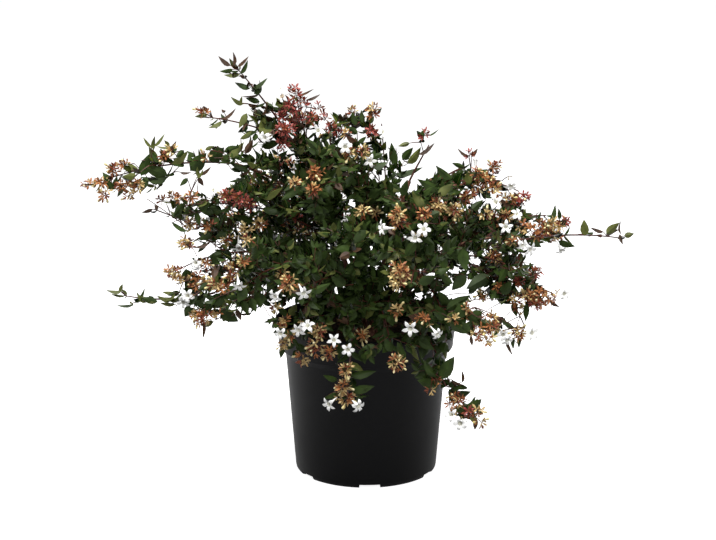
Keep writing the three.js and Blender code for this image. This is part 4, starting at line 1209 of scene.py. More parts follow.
def calyx_form(count, spread, turn):
    """A star of narrow sepals round a stalk's end, in millimetres."""
    corners, faces = [], []
    for k in range(count):
        around = turn + k * 2 * math.pi / count
        lean = spread * SEPAL_LEANS[k]
        outward = np.array([math.cos(around), 0, math.sin(around)])
        along = outward * math.sin(lean) + np.array([0, math.cos(lean), 0])
        normal = np.array([0, math.sin(lean), 0]) - outward * math.cos(lean)
        across = np.cross(along, normal)

        def place(x, y, z):
            return across * x + along * y + normal * (z - SEPAL_CURL * y * y)

        first = len(corners)
        corners.append(place(0, 0, 0))
        for forward, wide in SEPAL_ROWS:
            for x, z in SEPAL_SECTION:
                half = SEPAL_HALF_WIDTH
                corners.append(place(x * wide * half, forward * SEPAL_LENGTH, z * half))
        corners.append(place(0, SEPAL_LENGTH, 0))
        sides = pointed_faces(len(SEPAL_ROWS), len(SEPAL_SECTION))
        faces += [tuple(i + first for i in face) for face in sides]
    return Form(corners, faces)


CALYX_FORMS = [calyx_form(*shape) for shape in CALYX_SHAPES]


def round_form(rows, sides):
    """A closed round shape, from rows of distance along and radius. Its ends are points."""
    (start, _), *middle, (end, _) = rows
    corners = [(0, start, 0)]
    for along, radius in middle:
        corners += ring_corners(along, radius, sides)
    corners.append((0, end, 0))
    return Form(corners, pointed_faces(len(middle), sides))


BUD_FORM = round_form([(0, 0), (0.6, 0.55), (5.5, 0.8), (10, 2.0), (13, 2.5), (15, 1.7), (15.8, 0)], 7)
CHIP_FORM = round_form([(-1, 0), (-0.7, 0.55), (0.1, 0.8), (0.75, 0.45), (1, 0)], 5)

# Flower: a funnel whose mouth divides into five lobes, in millimetres from its mouth's middle.
PETAL, THROAT = 0, 1
LOBES = 5
FUNNEL_SIDES = 2 * LOBES
FUNNEL_ROWS = [(-24, 0.9), (-19, 1.0), (-13, 1.7), (-7, 2.9), (-2, 3.9)]
THROAT_ROWS = [(-12, 1.1), (-2, 3.6)]
# A lobe's rows: out from the funnel's edge, forward, and half the width. The last is its point.
OPEN_LOBE = [(2.2, 0.6, 2.9), (4.8, 0.5, 2.8), (7.2, -0.4, 1.6), (9.2, -1.4)]
CURLED_LOBE = [(2.3, 0.3, 3.0), (4.9, -0.7, 2.9), (6.6, -2.6, 1.7), (7.3, -4.3)]
LOBE_RISE = 1.6
LOBE_HALF_THICK = 0.3


def flower_form(lobe_rows):
    corners, faces, finishes = [], [], []

    def add_ring(along, radius):
        corners.extend(ring_corners(along, radius, FUNNEL_SIDES))
        return len(corners) - FUNNEL_SIDES

    def add_faces(finish, more):
        faces.extend(more)
        finishes.extend([finish] * len(more))

    outer = [add_ring(*row) for row in FUNNEL_ROWS]
    inner = [add_ring(*row) for row in THROAT_ROWS]
    add_faces(PETAL, [tuple(range(outer[0], outer[0] + FUNNEL_SIDES))[::-1]])
    add_faces(THROAT, [tuple(range(inner[0], inner[0] + FUNNEL_SIDES))])
    for low, high in zip(outer, outer[1:]):
        add_faces(PETAL, band(low, high, FUNNEL_SIDES))
    add_faces(THROAT, band(inner[1], inner[0], FUNNEL_SIDES))
    base_along, base_radius = FUNNEL_ROWS[-1]
    for c in range(0, FUNNEL_SIDES, 2):
        turn = 2 * math.pi * c / FUNNEL_SIDES
        outward = np.array([math.cos(turn), 0, -math.sin(turn)])
        across = np.array([math.sin(turn), 0, math.cos(turn)])

        def spot(out, rise, side, lift=0.0):
            forward = np.array([0, base_along + LOBE_RISE + rise + lift, 0])
            return tuple(outward * (base_radius + out) + forward + across * side)

        rows = []
        for out, rise, half in lobe_rows[:-1]:
            rows.append(len(corners))
            corners.extend([spot(out, rise, half), spot(out, rise, 0, LOBE_HALF_THICK)])
            corners.extend([spot(out, rise, -half), spot(out, rise, 0, -LOBE_HALF_THICK)])
        tip = len(corners)
        corners.append(spot(*lobe_rows[-1], 0))
        # The lobe's base row meets the funnel's edge and the throat's, which the lobe closes here.
        left, right = (c - 1) % FUNNEL_SIDES, (c + 1) % FUNNEL_SIDES
        rim_left, rim, rim_right = (outer[-1] + i for i in (left, c, right))
        in_left, inside, in_right = (inner[-1] + i for i in (left, c, right))
        edge, upper, far_edge, under = range(rows[0], rows[0] + 4)
        add_faces(PETAL, [(in_left, inside, upper, edge), (inside, in_right, far_edge, upper)])
        add_faces(PETAL, [(rim, rim_left, edge, under), (rim_right, rim, under, far_edge)])
        add_faces(PETAL, [(rim_left, in_left, edge), (in_right, rim_right, far_edge)])
        for low, high in zip(rows, rows[1:]):
            add_faces(PETAL, band(low, high, 4))
        add_faces(PETAL, [(rows[-1] + k, rows[-1] + (k + 1) % 4, tip) for k in range(4)])
    return Form(corners, faces, finishes)


FLOWER_FORMS = [flower_form(OPEN_LOBE), flower_form(CURLED_LOBE)]
PARALLEL = 1e-3
SPARE_UPPER = np.array([0.3, 0.9, 0.1])


def frames_of(forwards, uppers):
    """For each forward and rough upper side, the three axes of a stamped form."""
    forwards = units(forwards)
    across = np.cross(uppers, forwards)
    thin = np.linalg.norm(across, axis=1) < PARALLEL
    across[thin] = np.cross(forwards[thin], SPARE_UPPER)
    across = units(across)
    normals = np.cross(across, forwards)
    return np.stack([across, forwards, normals], axis=1)


def tube_form(tube):
    """A round twig along points, thinner towards its tip, with closed ends."""
    points = np.asarray(tube.points)
    sides = tube.sides
    ahead = np.gradient(points, axis=0)
    level = np.cross(ahead[0], UP)
    if np.linalg.norm(level) < PARALLEL:
        level = np.array([1.0, 0, 0])
    corners, faces = [], []
    shares = np.linspace(0, 1, len(points))
    for point, way, share in zip(points, ahead, shares):
        way = unit(way)
        level = unit(level - way * (level @ way))
        rise = np.cross(level, way)
        radius = tube.radius + (tube.tip_radius - tube.radius) * share
        for k in range(sides):
            turn = 2 * math.pi * k / sides
            corners.append(point + (level * math.cos(turn) + rise * math.sin(turn)) * radius)
    for low in range(0, len(corners) - sides, sides):
        faces += band(low + sides, low, sides)
    faces.append(tuple(range(sides)))
    faces.append(tuple(range(len(corners) - sides, len(corners)))[::-1])
    return Form(corners, faces)


# Trusses: short stalks in a spiral, each with a calyx, and some with a bud
Small = namedtuple("Small", "place heading size tint")
calyces = []
buds = []
BUD_SHARE = {"red": 0.05, "copper": 0.14, "gold": 0.36}
CALYX_TINTS = {
    "red": ("red", "red", "rust", "red"),
    "copper": ("copper", "rust", "tan", "copper"),
    "gold": ("tan", "copper", "rust", "tan"),
}
GOLDEN_TURN = math.radians(137.5)
AXIS_SHARE = 0.6
AXIS_BEFORE_MIDDLE = 0.7
AXIS_RADII = (0.6, 0.45)
CALYX_LEAST = 3
CALYX_POWER = 1.5
CALYX_DIVISOR = 12
CALYX_LATE = 0.6
CALYX_SWING = 0.3
CALYX_FORWARD = (0.1, 0.9)
CALYX_OUTWARD = (1.15, 0.65)
CALYX_STALKS = (0.12, 0.3)
CALYX_STALK_RADIUS = 0.35
CALYX_SIZES = (0.72, 1.05)
BUD_SIZES = (0.5, 0.85)
FLOWER_CALYX_SIZE = 0.75
FLOWER_CALYX_BEHIND = 0.5


def grow_truss(truss, chance):
    length = truss.width * AXIS_SHARE
    root = truss.middle - truss.heading * length * AXIS_BEFORE_MIDDLE
    tubes.append(Tube(np.array([root, root + truss.heading * length]), *AXIS_RADII, 3))
    count = max(CALYX_LEAST, round(truss.width**CALYX_POWER / CALYX_DIVISOR))
    forward, more_forward = CALYX_FORWARD
    outward, less_outward = CALYX_OUTWARD
    for k in range(count):
        share = (k + CALYX_LATE) / count
        out = sideways(truss.heading, k * GOLDEN_TURN + chance.within(CALYX_SWING))
        way = unit(truss.heading * (forward + more_forward * share) + out * (outward - less_outward * share))
        spot = root + truss.heading * length * share
        end = spot + way * truss.width * chance.between(*CALYX_STALKS)
        tubes.append(Tube(np.array([spot, end]), CALYX_STALK_RADIUS, CALYX_STALK_RADIUS, 3))
        tint = CALYX_TINTS[truss.tint][int(chance.roll() * 4)]
        calyces.append(Small(end, way, chance.between(*CALYX_SIZES), tint))
        if chance.roll() < BUD_SHARE[truss.tint]:
            buds.append(Small(end, way, chance.between(*BUD_SIZES), "bud"))


calyx_chance = Dice(CALYX_SEED)
for truss in trusses:
    grow_truss(truss, calyx_chance)
for flower in flowers:
    base = flower.mouth - flower.heading * (FLOWER_DEEP + FLOWER_CALYX_BEHIND)
    calyces.append(Small(base, flower.heading, FLOWER_CALYX_SIZE, "tan"))


# Leaves that have no room, or that hide blossom which shows, are left out
def leaf_test_points(rows):
    root = np.array([leaf.root for leaf in rows])
    along = np.array([leaf.along for leaf in rows])
    length = np.array([leaf.length for leaf in rows])[:, None]
    side = units(np.cross(np.array([leaf.facing for leaf in rows]), along)) * length * LEAF_WIDTH_SHARE / 2
    widest = root + along * length * LEAF_WIDEST_AT
    return [root + along * length * share for share in LEAF_TESTED_AT] + [widest + side, widest - side]


def with_room(rows):
    """Which leaves are clear of pot and limbs, and hide no sky and no blossom that shows."""
    keep = np.ones(len(rows), bool)
    for points in leaf_test_points(rows):
        keep &= clear_of_pot(points) & (points > box_low).all(axis=1) & (points < box_high).all(axis=1)
        keep &= within_outline(points)
        for start in range(0, len(points), POINTS_AT_ONCE):
            part = slice(start, start + POINTS_AT_ONCE)
            keep[part] &= (limb_stretches.distances(points[part]) > LIMB_CLEAR).all(axis=1)
        across, down, depth = on_picture(points)
        for spot in bare_spots:
            near = np.hypot(across - spot.across, down - spot.down) < spot.radius
            keep &= ~(near & (depth < spot.depth + BARE_SLACK))
        keep &= ~on_sky(across, down)
    return keep


def fitted_leaves(rows):
    """A leaf with no room stays smaller, and is left out where it has none at any size."""
    fitted = [leaf for leaf in rows if leaf.seen]
    rows = [leaf for leaf in rows if not leaf.seen]
    for shrink in LEAF_SIZES_TRIED:
        trial = [leaf._replace(length=leaf.length * shrink, width=leaf.width * shrink) for leaf in rows]
        good = with_room(trial)
        fitted += [leaf for leaf, fits in zip(trial, good) if fits]
        rows = [leaf for leaf, fits in zip(rows, good) if not fits]
    return fitted


leaves = fitted_leaves(leaves)


# Finishes
def srgb(code):
    """A #RRGGBB colour as linear red, green, blue and alpha."""
    parts = [int(code[i : i + 2], 16) / 255 for i in (1, 3, 5)]
    return tuple(((c + 0.055) / 1.055) ** 2.4 if c > 0.04045 else c / 12.92 for c in parts) + (1.0,)


def add_node(tree, kind, settings=None, links=None):
    """Adds a node, sets its properties and input values, and links its inputs from other nodes."""
    node = tree.nodes.new(kind)
    for key, value in (settings or {}).items():
        if key in node.inputs:
            node.inputs[key].default_value = value
        else:
            setattr(node, key, value)
    for key, socket in (links or {}).items():
        tree.links.new(socket, node.inputs[key])
    return node


def new_finish(name, settings):
    """A material with its shader, and the tree, shader and Object coordinates to build on."""
    finish = bpy.data.materials.new(name)
    finish.use_nodes = True
    tree = finish.node_tree
    tree.nodes.clear()
    shader = add_node(tree, "ShaderNodeBsdfPrincipled", settings)
    add_node(tree, "ShaderNodeOutputMaterial", links={"Surface": shader.outputs["BSDF"]})
    coordinates = add_node(tree, "ShaderNodeTexCoord")
    return finish, tree, shader, coordinates.outputs["Object"]


def noise(tree, place, size_mm, detail, roughness=0.5):
    """A noise's height socket, with features of a real size."""
    settings = {"Scale": 1 / (size_mm * MM), "Detail": detail, "Roughness": roughness}
    return add_node(tree, "ShaderNodeTexNoise", settings, {"Vector": place}).outputs["Fac"]


def colour_by(tree, shader, factor, colours):
    """Base colour from a ramp over a factor, given as (position, #RRGGBB) pairs."""
    ramp = add_node(tree, "ShaderNodeValToRGB", links={"Fac": factor})
    stops = ramp.color_ramp.elements
    for stop, (position, code) in zip(stops, (colours[0], colours[-1])):
        stop.position = position
        stop.color = srgb(code)
    for position, code in colours[1:-1]:
        stops.new(position).color = srgb(code)
    tree.links.new(ramp.outputs["Color"], shader.inputs["Base Color"])


def relief(tree, shader, height, depth_mm):
    """Bump of a real depth from a height socket."""
    bump = add_node(tree, "ShaderNodeBump", {"Strength": 1.0, "Distance": depth_mm * MM}, {"Height": height})
    tree.links.new(bump.outputs["Normal"], shader.inputs["Normal"])


def leaf_finish(name, dark, light, roughness, gloss):
    # Living evergreen leaf with a waxy skin: deep colour, a soft sheen, and slight puckers
    # between its veins that break up the highlight.
    finish, tree, shader, place = new_finish(name, {"Roughness": roughness, "Specular IOR Level": gloss})
    colour_by(tree, shader, noise(tree, place, 24, 3.0), [(0.36, dark), (0.64, light)])
    relief(tree, shader, noise(tree, place, 5, 2.0), 0.8)
    return finish


def mottled_finish(name, low, high, grain_mm, roughness, gloss=0.2, glow=0.0, depth_mm=0.0):
    """A mottled finish. Glow stands for the light that comes through something thin and pale."""
    settings = {"Roughness": roughness, "Specular IOR Level": gloss}
    glowing = {"Emission Color": srgb(high), "Emission Strength": glow}
    finish, tree, shader, place = new_finish(name, {**settings, **glowing})
    grain = noise(tree, place, grain_mm, 4.0)
    colour_by(tree, shader, grain, [(0.32, low), (0.68, high)])
    if depth_mm:
        relief(tree, shader, grain, depth_mm)
    return finish


def bark_finish():
    # Thin reddish bark that splits lengthwise: brown streaks along the cane with paler flakes.
    settings = {"Roughness": 0.72, "Specular IOR Level": 0.3}
    finish, tree, shader, place = new_finish("flaking_cane_bark", settings)
    drawn_out = add_node(tree, "ShaderNodeMapping", {"Scale": (1.0, 1.0, 0.16)}, {"Vector": place})
    streaks = noise(tree, drawn_out.outputs["Vector"], 3.5, 6.0, 0.65)
    colour_by(tree, shader, streaks, [(0.3, "#3B2218"), (0.55, "#6B4433"), (0.74, "#A98D72")])
    relief(tree, shader, streaks, 0.8)
    return finish


def pot_finish():
    # Injection-moulded black polypropylene: satin, with a fine moulded grain, and faint flow marks
    # that vary its tone and its gloss.
    settings = {"Specular IOR Level": 0.05, "IOR": 1.49}
    finish, tree, shader, place = new_finish("moulded_black_polypropylene", settings)
    flow = noise(tree, place, 60, 5.0)
    colour_by(tree, shader, flow, [(0.3, "#060607"), (0.7, "#0A0A0B")])
    gloss = add_node(tree, "ShaderNodeMapRange", {"To Min": 0.46, "To Max": 0.58}, {"Value": flow})
    tree.links.new(gloss.outputs["Result"], shader.inputs["Roughness"])
    relief(tree, shader, noise(tree, place, 1.2, 2.0), 0.05)
    return finish


LEAF_TOPS = {
    "deep": leaf_finish("evergreen_leaf_deep", "#081203", "#0F1D06", 0.22, 0.14),
    "mid": leaf_finish("evergreen_leaf_mid", "#0F1F04", "#1D360A", 0.22, 0.15),
    "olive": leaf_finish("evergreen_leaf_olive", "#2E370D", "#545C1F", 0.3, 0.18),
    "bronze": leaf_finish("young_leaf_bronze", "#22160C", "#3E291A", 0.3, 0.18),
}
# The rib and the underside are paler and duller than the waxy upper side.
RIB_FINISH = mottled_finish("leaf_midrib", "#4E5022", "#6E6C38", 8, 0.55)
GREEN_UNDER = mottled_finish("leaf_underside_green", "#1C280B", "#304019", 14, 0.5, 0.12)
LEAF_UNDERS = {
    "deep": GREEN_UNDER,
    "mid": GREEN_UNDER,
    "olive": mottled_finish("leaf_underside_olive", "#3C4219", "#5E6332", 14, 0.5),
    "bronze": mottled_finish("leaf_underside_bronze", "#2C1D12", "#4A3524", 14, 0.5),
}
# Young twigs have a smooth reddish skin.
TWIG_FINISH = mottled_finish("young_reddish_twig", "#2E140D", "#55291D", 7, 0.5, 0.25)
CANE_FINISH = bark_finish()
# Dry papery sepals, coloured by the season: red where young, then copper and tan.
SEPAL_COLOURS = {
    "red": ("#66231F", "#9E5045"),
    "rust": ("#4E2212", "#84452A"),
    "copper": ("#743F22", "#AC7546"),
    "tan": ("#937443", "#CDB480"),
}
CALYX_FINISHES = {
    tint: mottled_finish("papery_sepal_" + tint, low, high, 4, 0.55, 0.25)
    for tint, (low, high) in SEPAL_COLOURS.items()
}
BUD_FINISH = mottled_finish("closed_bud_cream", "#C9B672", "#EBDFB2", 9, 0.5, 0.3)
# Petals are soft and matte white, with a painted glow that stands for the light shining through them.
PETAL_PAINTED_GLOW_FINISH = mottled_finish("matte_white_petal_painted_glow", "#F2F2F0", "#FCFCFA", 8, 0.6, 0.2, 0.14)
# The throat has a breath of yellow, and is a little darker with painted shade inside the funnel.
THROAT_TINT_AND_SHADE_FINISH = mottled_finish("petal_throat_painted_shade", "#E8E7DA", "#F6F5EC", 4, 0.6)
CHIP_FINISH = mottled_finish("composted_bark_chip", "#2B1B12", "#5A3F2B", 5, 0.9)
# Damp peat compost: near-black crumbs with brown fibre.
SOIL_FINISH = mottled_finish("damp_peat_compost", "#15100C", "#35261B", 6, 0.95, depth_mm=2.0)


# Pieces
def finish_piece(piece, finishes, nodes=()):
    """Gives a piece its finishes and its body, and hides the frame's nodes that it stands for."""
    piece.data.materials.clear()
    for finish in finishes:
        piece.data.materials.append(finish)
    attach(piece, "root")
    if nodes:
        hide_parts(*nodes)


def deselect_all():
    bpy.ops.object.select_all(action="DESELECT")


def only(piece):
    """Selects one object and nothing else."""
    deselect_all()
    bpy.context.view_layer.objects.active = piece
    piece.select_set(True)


def smooth(piece, degrees):
    only(piece)
    bpy.ops.object.shade_smooth_by_angle(angle=math.radians(degrees))


def edit_all():
    """Starts Edit mode with the whole mesh selected."""
    bpy.ops.object.mode_set(mode="EDIT")
    bpy.ops.mesh.select_all(action="SELECT")


def face_outwards():
    """Turns all faces of the mesh outwards and leaves Edit mode."""
    bpy.ops.mesh.select_all(action="SELECT")
    bpy.ops.mesh.normals_make_consistent(inside=False)
    bpy.ops.object.mode_set(mode="OBJECT")


def link_object(name, data):
    thing = bpy.data.objects.new(name, data)
    bpy.context.scene.collection.objects.link(thing)
    return thing


def small_things(name, heap, finishes, nodes=(), crease=40):
    """One joined piece from a heap, with its place in its mesh."""
    corners = np.concatenate(heap.corners) * MM
    loops = np.concatenate(heap.loops)
    sizes = np.concatenate(heap.sizes)
    mesh = bpy.data.meshes.new(name)
    mesh.vertices.add(len(corners))
    mesh.vertices.foreach_set("co", corners.astype(np.float32).ravel())
    mesh.loops.add(len(loops))
    mesh.loops.foreach_set("vertex_index", loops.astype(np.int32))
    mesh.polygons.add(len(sizes))
    mesh.polygons.foreach_set("loop_start", np.concatenate([[0], np.cumsum(sizes)[:-1]]).astype(np.int32))
    mesh.update(calc_edges=True)
    piece = link_object(name, mesh)
    finish_piece(piece, finishes, nodes)
    numbers = np.concatenate(heap.finishes)
    piece.data.polygons.foreach_set("material_index", numbers.astype(np.int32))
    smooth(piece, crease)


def side_of(place):
    return "left" if place[0] < 0 else "right"


def build_leaves(tint, side):
    heap = Heap()
    rows = [leaf for leaf in leaves if leaf.tint == tint and side_of(leaf.root) == side]
    for v, form in enumerate(LEAF_FORMS):
        some = rows[v :: len(LEAF_FORMS)]
        sizes = np.array([(leaf.width, leaf.length, leaf.length) for leaf in some])
        frames = frames_of(np.array([leaf.along for leaf in some]), np.array([leaf.facing for leaf in some]))
        heap.stamp(form, np.array([leaf.root for leaf in some]), frames, sizes)
    # The leaves of middle green stand for the masses of their side.
    nodes = [s.name for s in shoots if side_of(s.line.at(1)) == side] if tint == "mid" else ()
    finishes = (LEAF_TOPS[tint], RIB_FINISH, LEAF_UNDERS[tint])
    small_things(f"leaves_{tint}_{side}", heap, finishes, nodes)


def stamped(forms, rows):
    """A heap of small things, dealt out to the forms in turn."""
    heap = Heap()
    for v, form in enumerate(forms):
        some = rows[v :: len(forms)]
        places = np.array([row.place for row in some])
        headings = np.array([row.heading for row in some])
        chance = Dice(STAMP_SEED + len(some))
        uppers = np.array([[chance.within(1) for _ in range(3)] for _ in some])
        sizes = np.array([row.size for row in some])
        heap.stamp(form, places, frames_of(headings, uppers), np.repeat(sizes[:, None], 3, axis=1))
    return heap


FLOWER_SIZES = (0.98, 0.86, 0.92)


def build_blossom():
    for tint, finish in CALYX_FINISHES.items():
        rows = [calyx for calyx in calyces if calyx.tint == tint]
        small_things("sepals_" + tint, stamped(CALYX_FORMS, rows), (finish,))
    small_things("closed_buds", stamped([BUD_FORM], buds), (BUD_FINISH,), crease=60)
    rows = [Small(f.mouth, f.heading, FLOWER_SIZES[i % 3], "") for i, f in enumerate(flowers)]
    finishes = (PETAL_PAINTED_GLOW_FINISH, THROAT_TINT_AND_SHADE_FINISH)
    small_things("flowers", stamped(FLOWER_FORMS, rows), finishes, crease=60)


def build_twigs():
    heap = Heap()
    for tube in tubes:
        form = tube_form(tube)
        heap.add(form.corners, form.loops, form.sizes, form.finishes)
    small_things("twigs", heap, (TWIG_FINISH,), crease=50)


def noise_texture(name, size_mm, depth):
    texture = bpy.data.textures.new(name, "CLOUDS")
    texture.noise_scale = size_mm * MM
    texture.noise_depth = depth
    return texture


def roughen(solid, texture, depth_mm, level, direction="NORMAL", group=""):
    """Moves a mesh's corners by a noise, in one direction or along their normals."""
    only(solid)
    bumps = solid.modifiers.new("bumps", "DISPLACE")
    bumps.texture = texture
    bumps.strength = depth_mm * MM
    bumps.mid_level = level
    bumps.direction = direction
    bumps.vertex_group = group
    bpy.ops.object.modifier_apply(modifier="bumps")


BARK_NOISE = noise_texture("bark_noise", 5, 2)
BARK_RELIEF = 0.9
KNUCKLE_SPACING = 26
KNUCKLE_WIDEN = 0.07
KNUCKLE_SHARPNESS = 6
WELD = 0.01


def build_limb(limb):
    """A cane or bough: a curve with its taper, made a mesh, with relief from a noise."""
    curve = bpy.data.curves.new(limb.name + "_wood", "CURVE")
    curve.dimensions = "3D"
    curve.bevel_depth = 1.0
    curve.bevel_resolution = 3
    curve.use_fill_caps = True
    spline = curve.splines.new("POLY")
    spline.points.add(limb.line.steps)
    for i, point in enumerate(spline.points):
        share = i / limb.line.steps
        wave = math.cos(share * limb.line.length / KNUCKLE_SPACING * 2 * math.pi)
        knuckle = 1 + KNUCKLE_WIDEN * max(0, wave) ** KNUCKLE_SHARPNESS
        point.co = (*(limb.line.points[i] * MM), 1.0)
        point.radius = limb.radius(share) * knuckle * MM
    only(link_object(limb.name + "_wood", curve))
    bpy.ops.object.convert(target="MESH")
    wood = bpy.context.object
    edit_all()
    bpy.ops.mesh.remove_doubles(threshold=WELD * MM)
    face_outwards()
    roughen(wood, BARK_NOISE, BARK_RELIEF, 0.5)
    finish_piece(wood, (CANE_FINISH,), (limb.name,))
    smooth(wood, 60)


def ring_solid(name, rings):
    """A closed round solid, drawn up ring by ring from a flat disc, from pairs of radius and height."""
    (radius, height), *rest = rings
    deselect_all()
    bpy.ops.mesh.primitive_circle_add(
        vertices=POT_FACETS, radius=radius * MM, fill_type="NGON", location=(0, 0, height * MM)
    )
    solid = bpy.context.object
    solid.name = name
    bpy.ops.object.transform_apply(location=True)
    edit_all()
    for next_radius, next_height in rest:
        rise = (0, 0, (next_height - height) * MM)
        bpy.ops.mesh.extrude_region_move(TRANSFORM_OT_translate={"value": rise})
        grow = next_radius / radius
        bpy.ops.transform.resize(value=(grow, grow, 1), center_override=(0, 0, next_height * MM))
        radius, height = next_radius, next_height
    face_outwards()
    return solid


def eased(low_radius, low_height, high_radius, high_height, curve):
    """Rings between two others, on a curve given by shares of the widening and of the rise."""
    return [
        (low_radius + (high_radius - low_radius) * out, low_height + (high_height - low_height) * rise)
        for out, rise in curve
    ]


def pot_outer_rings():
    return [
        (FOOT_RADIUS, 0),
        *eased(FOOT_RADIUS, 0, CORNER_RADIUS, CORNER_HEIGHT, CORNER_CURVE),
        (CORNER_RADIUS, CORNER_HEIGHT),
        (SHOULDER_RADIUS, SHOULDER_HEIGHT),
        *eased(SHOULDER_RADIUS, SHOULDER_HEIGHT, BAND_BOTTOM_RADIUS, BAND_BOTTOM, SHOULDER_CURVE),
        (BAND_BOTTOM_RADIUS, BAND_BOTTOM),
        (BAND_TOP_RADIUS, POT_HEIGHT - LIP_HEIGHT),
        (RIM_RADIUS, POT_HEIGHT - LIP_HEIGHT),
        (RIM_RADIUS, POT_HEIGHT),
    ]


def pot_inner_rings(clear, top):
    """The pot's inside, drawn in by a clearance. It runs up to a given level."""
    inset = POT_WALL + clear
    slope = (BAND_TOP_RADIUS - BAND_BOTTOM_RADIUS) / (POT_HEIGHT - BAND_BOTTOM)
    return [
        (FOOT_RADIUS - inset, POT_FLOOR + clear),
        (CORNER_RADIUS - inset, CORNER_HEIGHT + clear),
        (SHOULDER_RADIUS - inset, SHOULDER_HEIGHT + inset),
        (BAND_BOTTOM_RADIUS - inset, BAND_BOTTOM + inset),
        (BAND_BOTTOM_RADIUS - inset + slope * (top - BAND_BOTTOM), top),
    ]


def at_each_pocket(name, reach, add_solid):
    """One solid at each drainage pocket, a reach from the pot's axis, all joined in one object."""
    solids = []
    deselect_all()
    for i in range(POCKET_COUNT):
        azimuth = math.radians(POCKET_FIRST_AZIMUTH + i * 360 / POCKET_COUNT)
        add_solid(azimuth, math.cos(azimuth) * reach * MM, math.sin(azimuth) * reach * MM)
        solids.append(bpy.context.object)
    deselect_all()
    for solid in solids:
        solid.select_set(True)
    bpy.context.view_layer.objects.active = solids[0]
    bpy.ops.object.join()
    whole = bpy.context.object
    whole.name = name
    bpy.ops.object.transform_apply(location=True, rotation=True, scale=True)
    return whole


CUT_SPARE = 10  # how far a cutter goes past what it cuts


def pocket_blocks(name, grow):
    """A block for each drainage pocket in the bottom corner, grown on all its sides."""
    inner = FOOT_RADIUS - POCKET_DEPTH - grow
    outer = CORNER_RADIUS + CUT_SPARE
    height = POCKET_HEIGHT + grow
    size = ((outer - inner) * MM, (POCKET_WIDTH + 2 * grow) * MM, (height + CUT_SPARE) * MM)

    def add_block(azimuth, x, y):
        place = (x, y, (height - CUT_SPARE) / 2 * MM)
        bpy.ops.mesh.primitive_cube_add(size=1, location=place, rotation=(0, 0, azimuth), scale=size)

    return at_each_pocket(name, (inner + outer) / 2, add_block)


def drain_holes():
    def add_hole(_, x, y):
        bpy.ops.mesh.primitive_cylinder_add(
            vertices=20, radius=DRAIN_RADIUS * MM, depth=2 * CUT_SPARE * MM, location=(x, y, 0)
        )

    return at_each_pocket("drain_holes", FOOT_RADIUS - POCKET_DEPTH / 2, add_hole)


def cut_away(solid, cutter):
    """Cuts one solid from another and removes the cutter."""
    only(solid)
    cut = solid.modifiers.new("cut", "BOOLEAN")
    cut.operation = "DIFFERENCE"
    cut.solver = "EXACT"
    cut.object = cutter
    bpy.ops.object.modifier_apply(modifier="cut")
    bpy.data.objects.remove(cutter)


EDGE_RADIUS = 0.8
EDGE_SEGMENTS = 2
EDGE_SHARPER_THAN = 25


def round_edges(solid):
    only(solid)
    edge = solid.modifiers.new("rounded", "BEVEL")
    edge.width = EDGE_RADIUS * MM
    edge.segments = EDGE_SEGMENTS
    edge.limit_method = "ANGLE"
    edge.angle_limit = math.radians(EDGE_SHARPER_THAN)
    bpy.ops.object.modifier_apply(modifier="rounded")


INSIDE_SPARE = 5  # how far the pot's inside goes past its rim before it is cut away


def build_pot():
    pot = ring_solid("nursery_pot", pot_outer_rings())
    inside = ring_solid("pot_inside", pot_inner_rings(0, POT_HEIGHT + INSIDE_SPARE))
    cut_away(inside, pocket_blocks("pocket_linings", POT_WALL))
    cut_away(pot, inside)
    cut_away(pot, pocket_blocks("pockets", 0))
    cut_away(pot, drain_holes())
    round_edges(pot)
    finish_piece(pot, (pot_finish(),), ("pot",))
    smooth(pot, 35)


SOIL_NOISE = noise_texture("soil_noise", 9, 3)
SOIL_RINGS = 14
SOIL_EDGE_DROP = 3
SOIL_CROWN = 2.4
SOIL_MIDDLE_RADIUS = 0.5
SOIL_SURFACE_FROM = 1
SOIL_RELIEF = 5


def build_soil():
    top = pot_inner_rings(GAP, SOIL_TOP - SOIL_EDGE_DROP)
    radius, height = top[-1]
    shares = [1 - k / SOIL_RINGS for k in range(1, SOIL_RINGS)]
    crown = [(radius * share + SOIL_MIDDLE_RADIUS, height + SOIL_CROWN) for share in shares]
    soil = ring_solid("peat_compost", top + crown)
    cut_away(soil, pocket_blocks("pocket_linings", POT_WALL + GAP))
    group = soil.vertex_groups.new(name="surface")
    surface = [v.index for v in soil.data.vertices if v.co.z > (height + SOIL_SURFACE_FROM) * MM]
    group.add(surface, 1.0, "REPLACE")
    roughen(soil, SOIL_NOISE, SOIL_RELIEF, 0.6, "Z", "surface")
    finish_piece(soil, (SOIL_FINISH,), ("soil",))
    smooth(soil, 60)


CHIP_COUNT = 420
CHIP_EDGE_CLEAR = 9
CHIP_SUNK = 1.5
CHIP_LENGTHS = (2.0, 6.5)
CHIP_WIDTH_SHARE = 0.7
CHIP_THICK_SHARE = 0.35
CHIP_TILT = 0.2
CHIP_STEM_CLEAR = 12


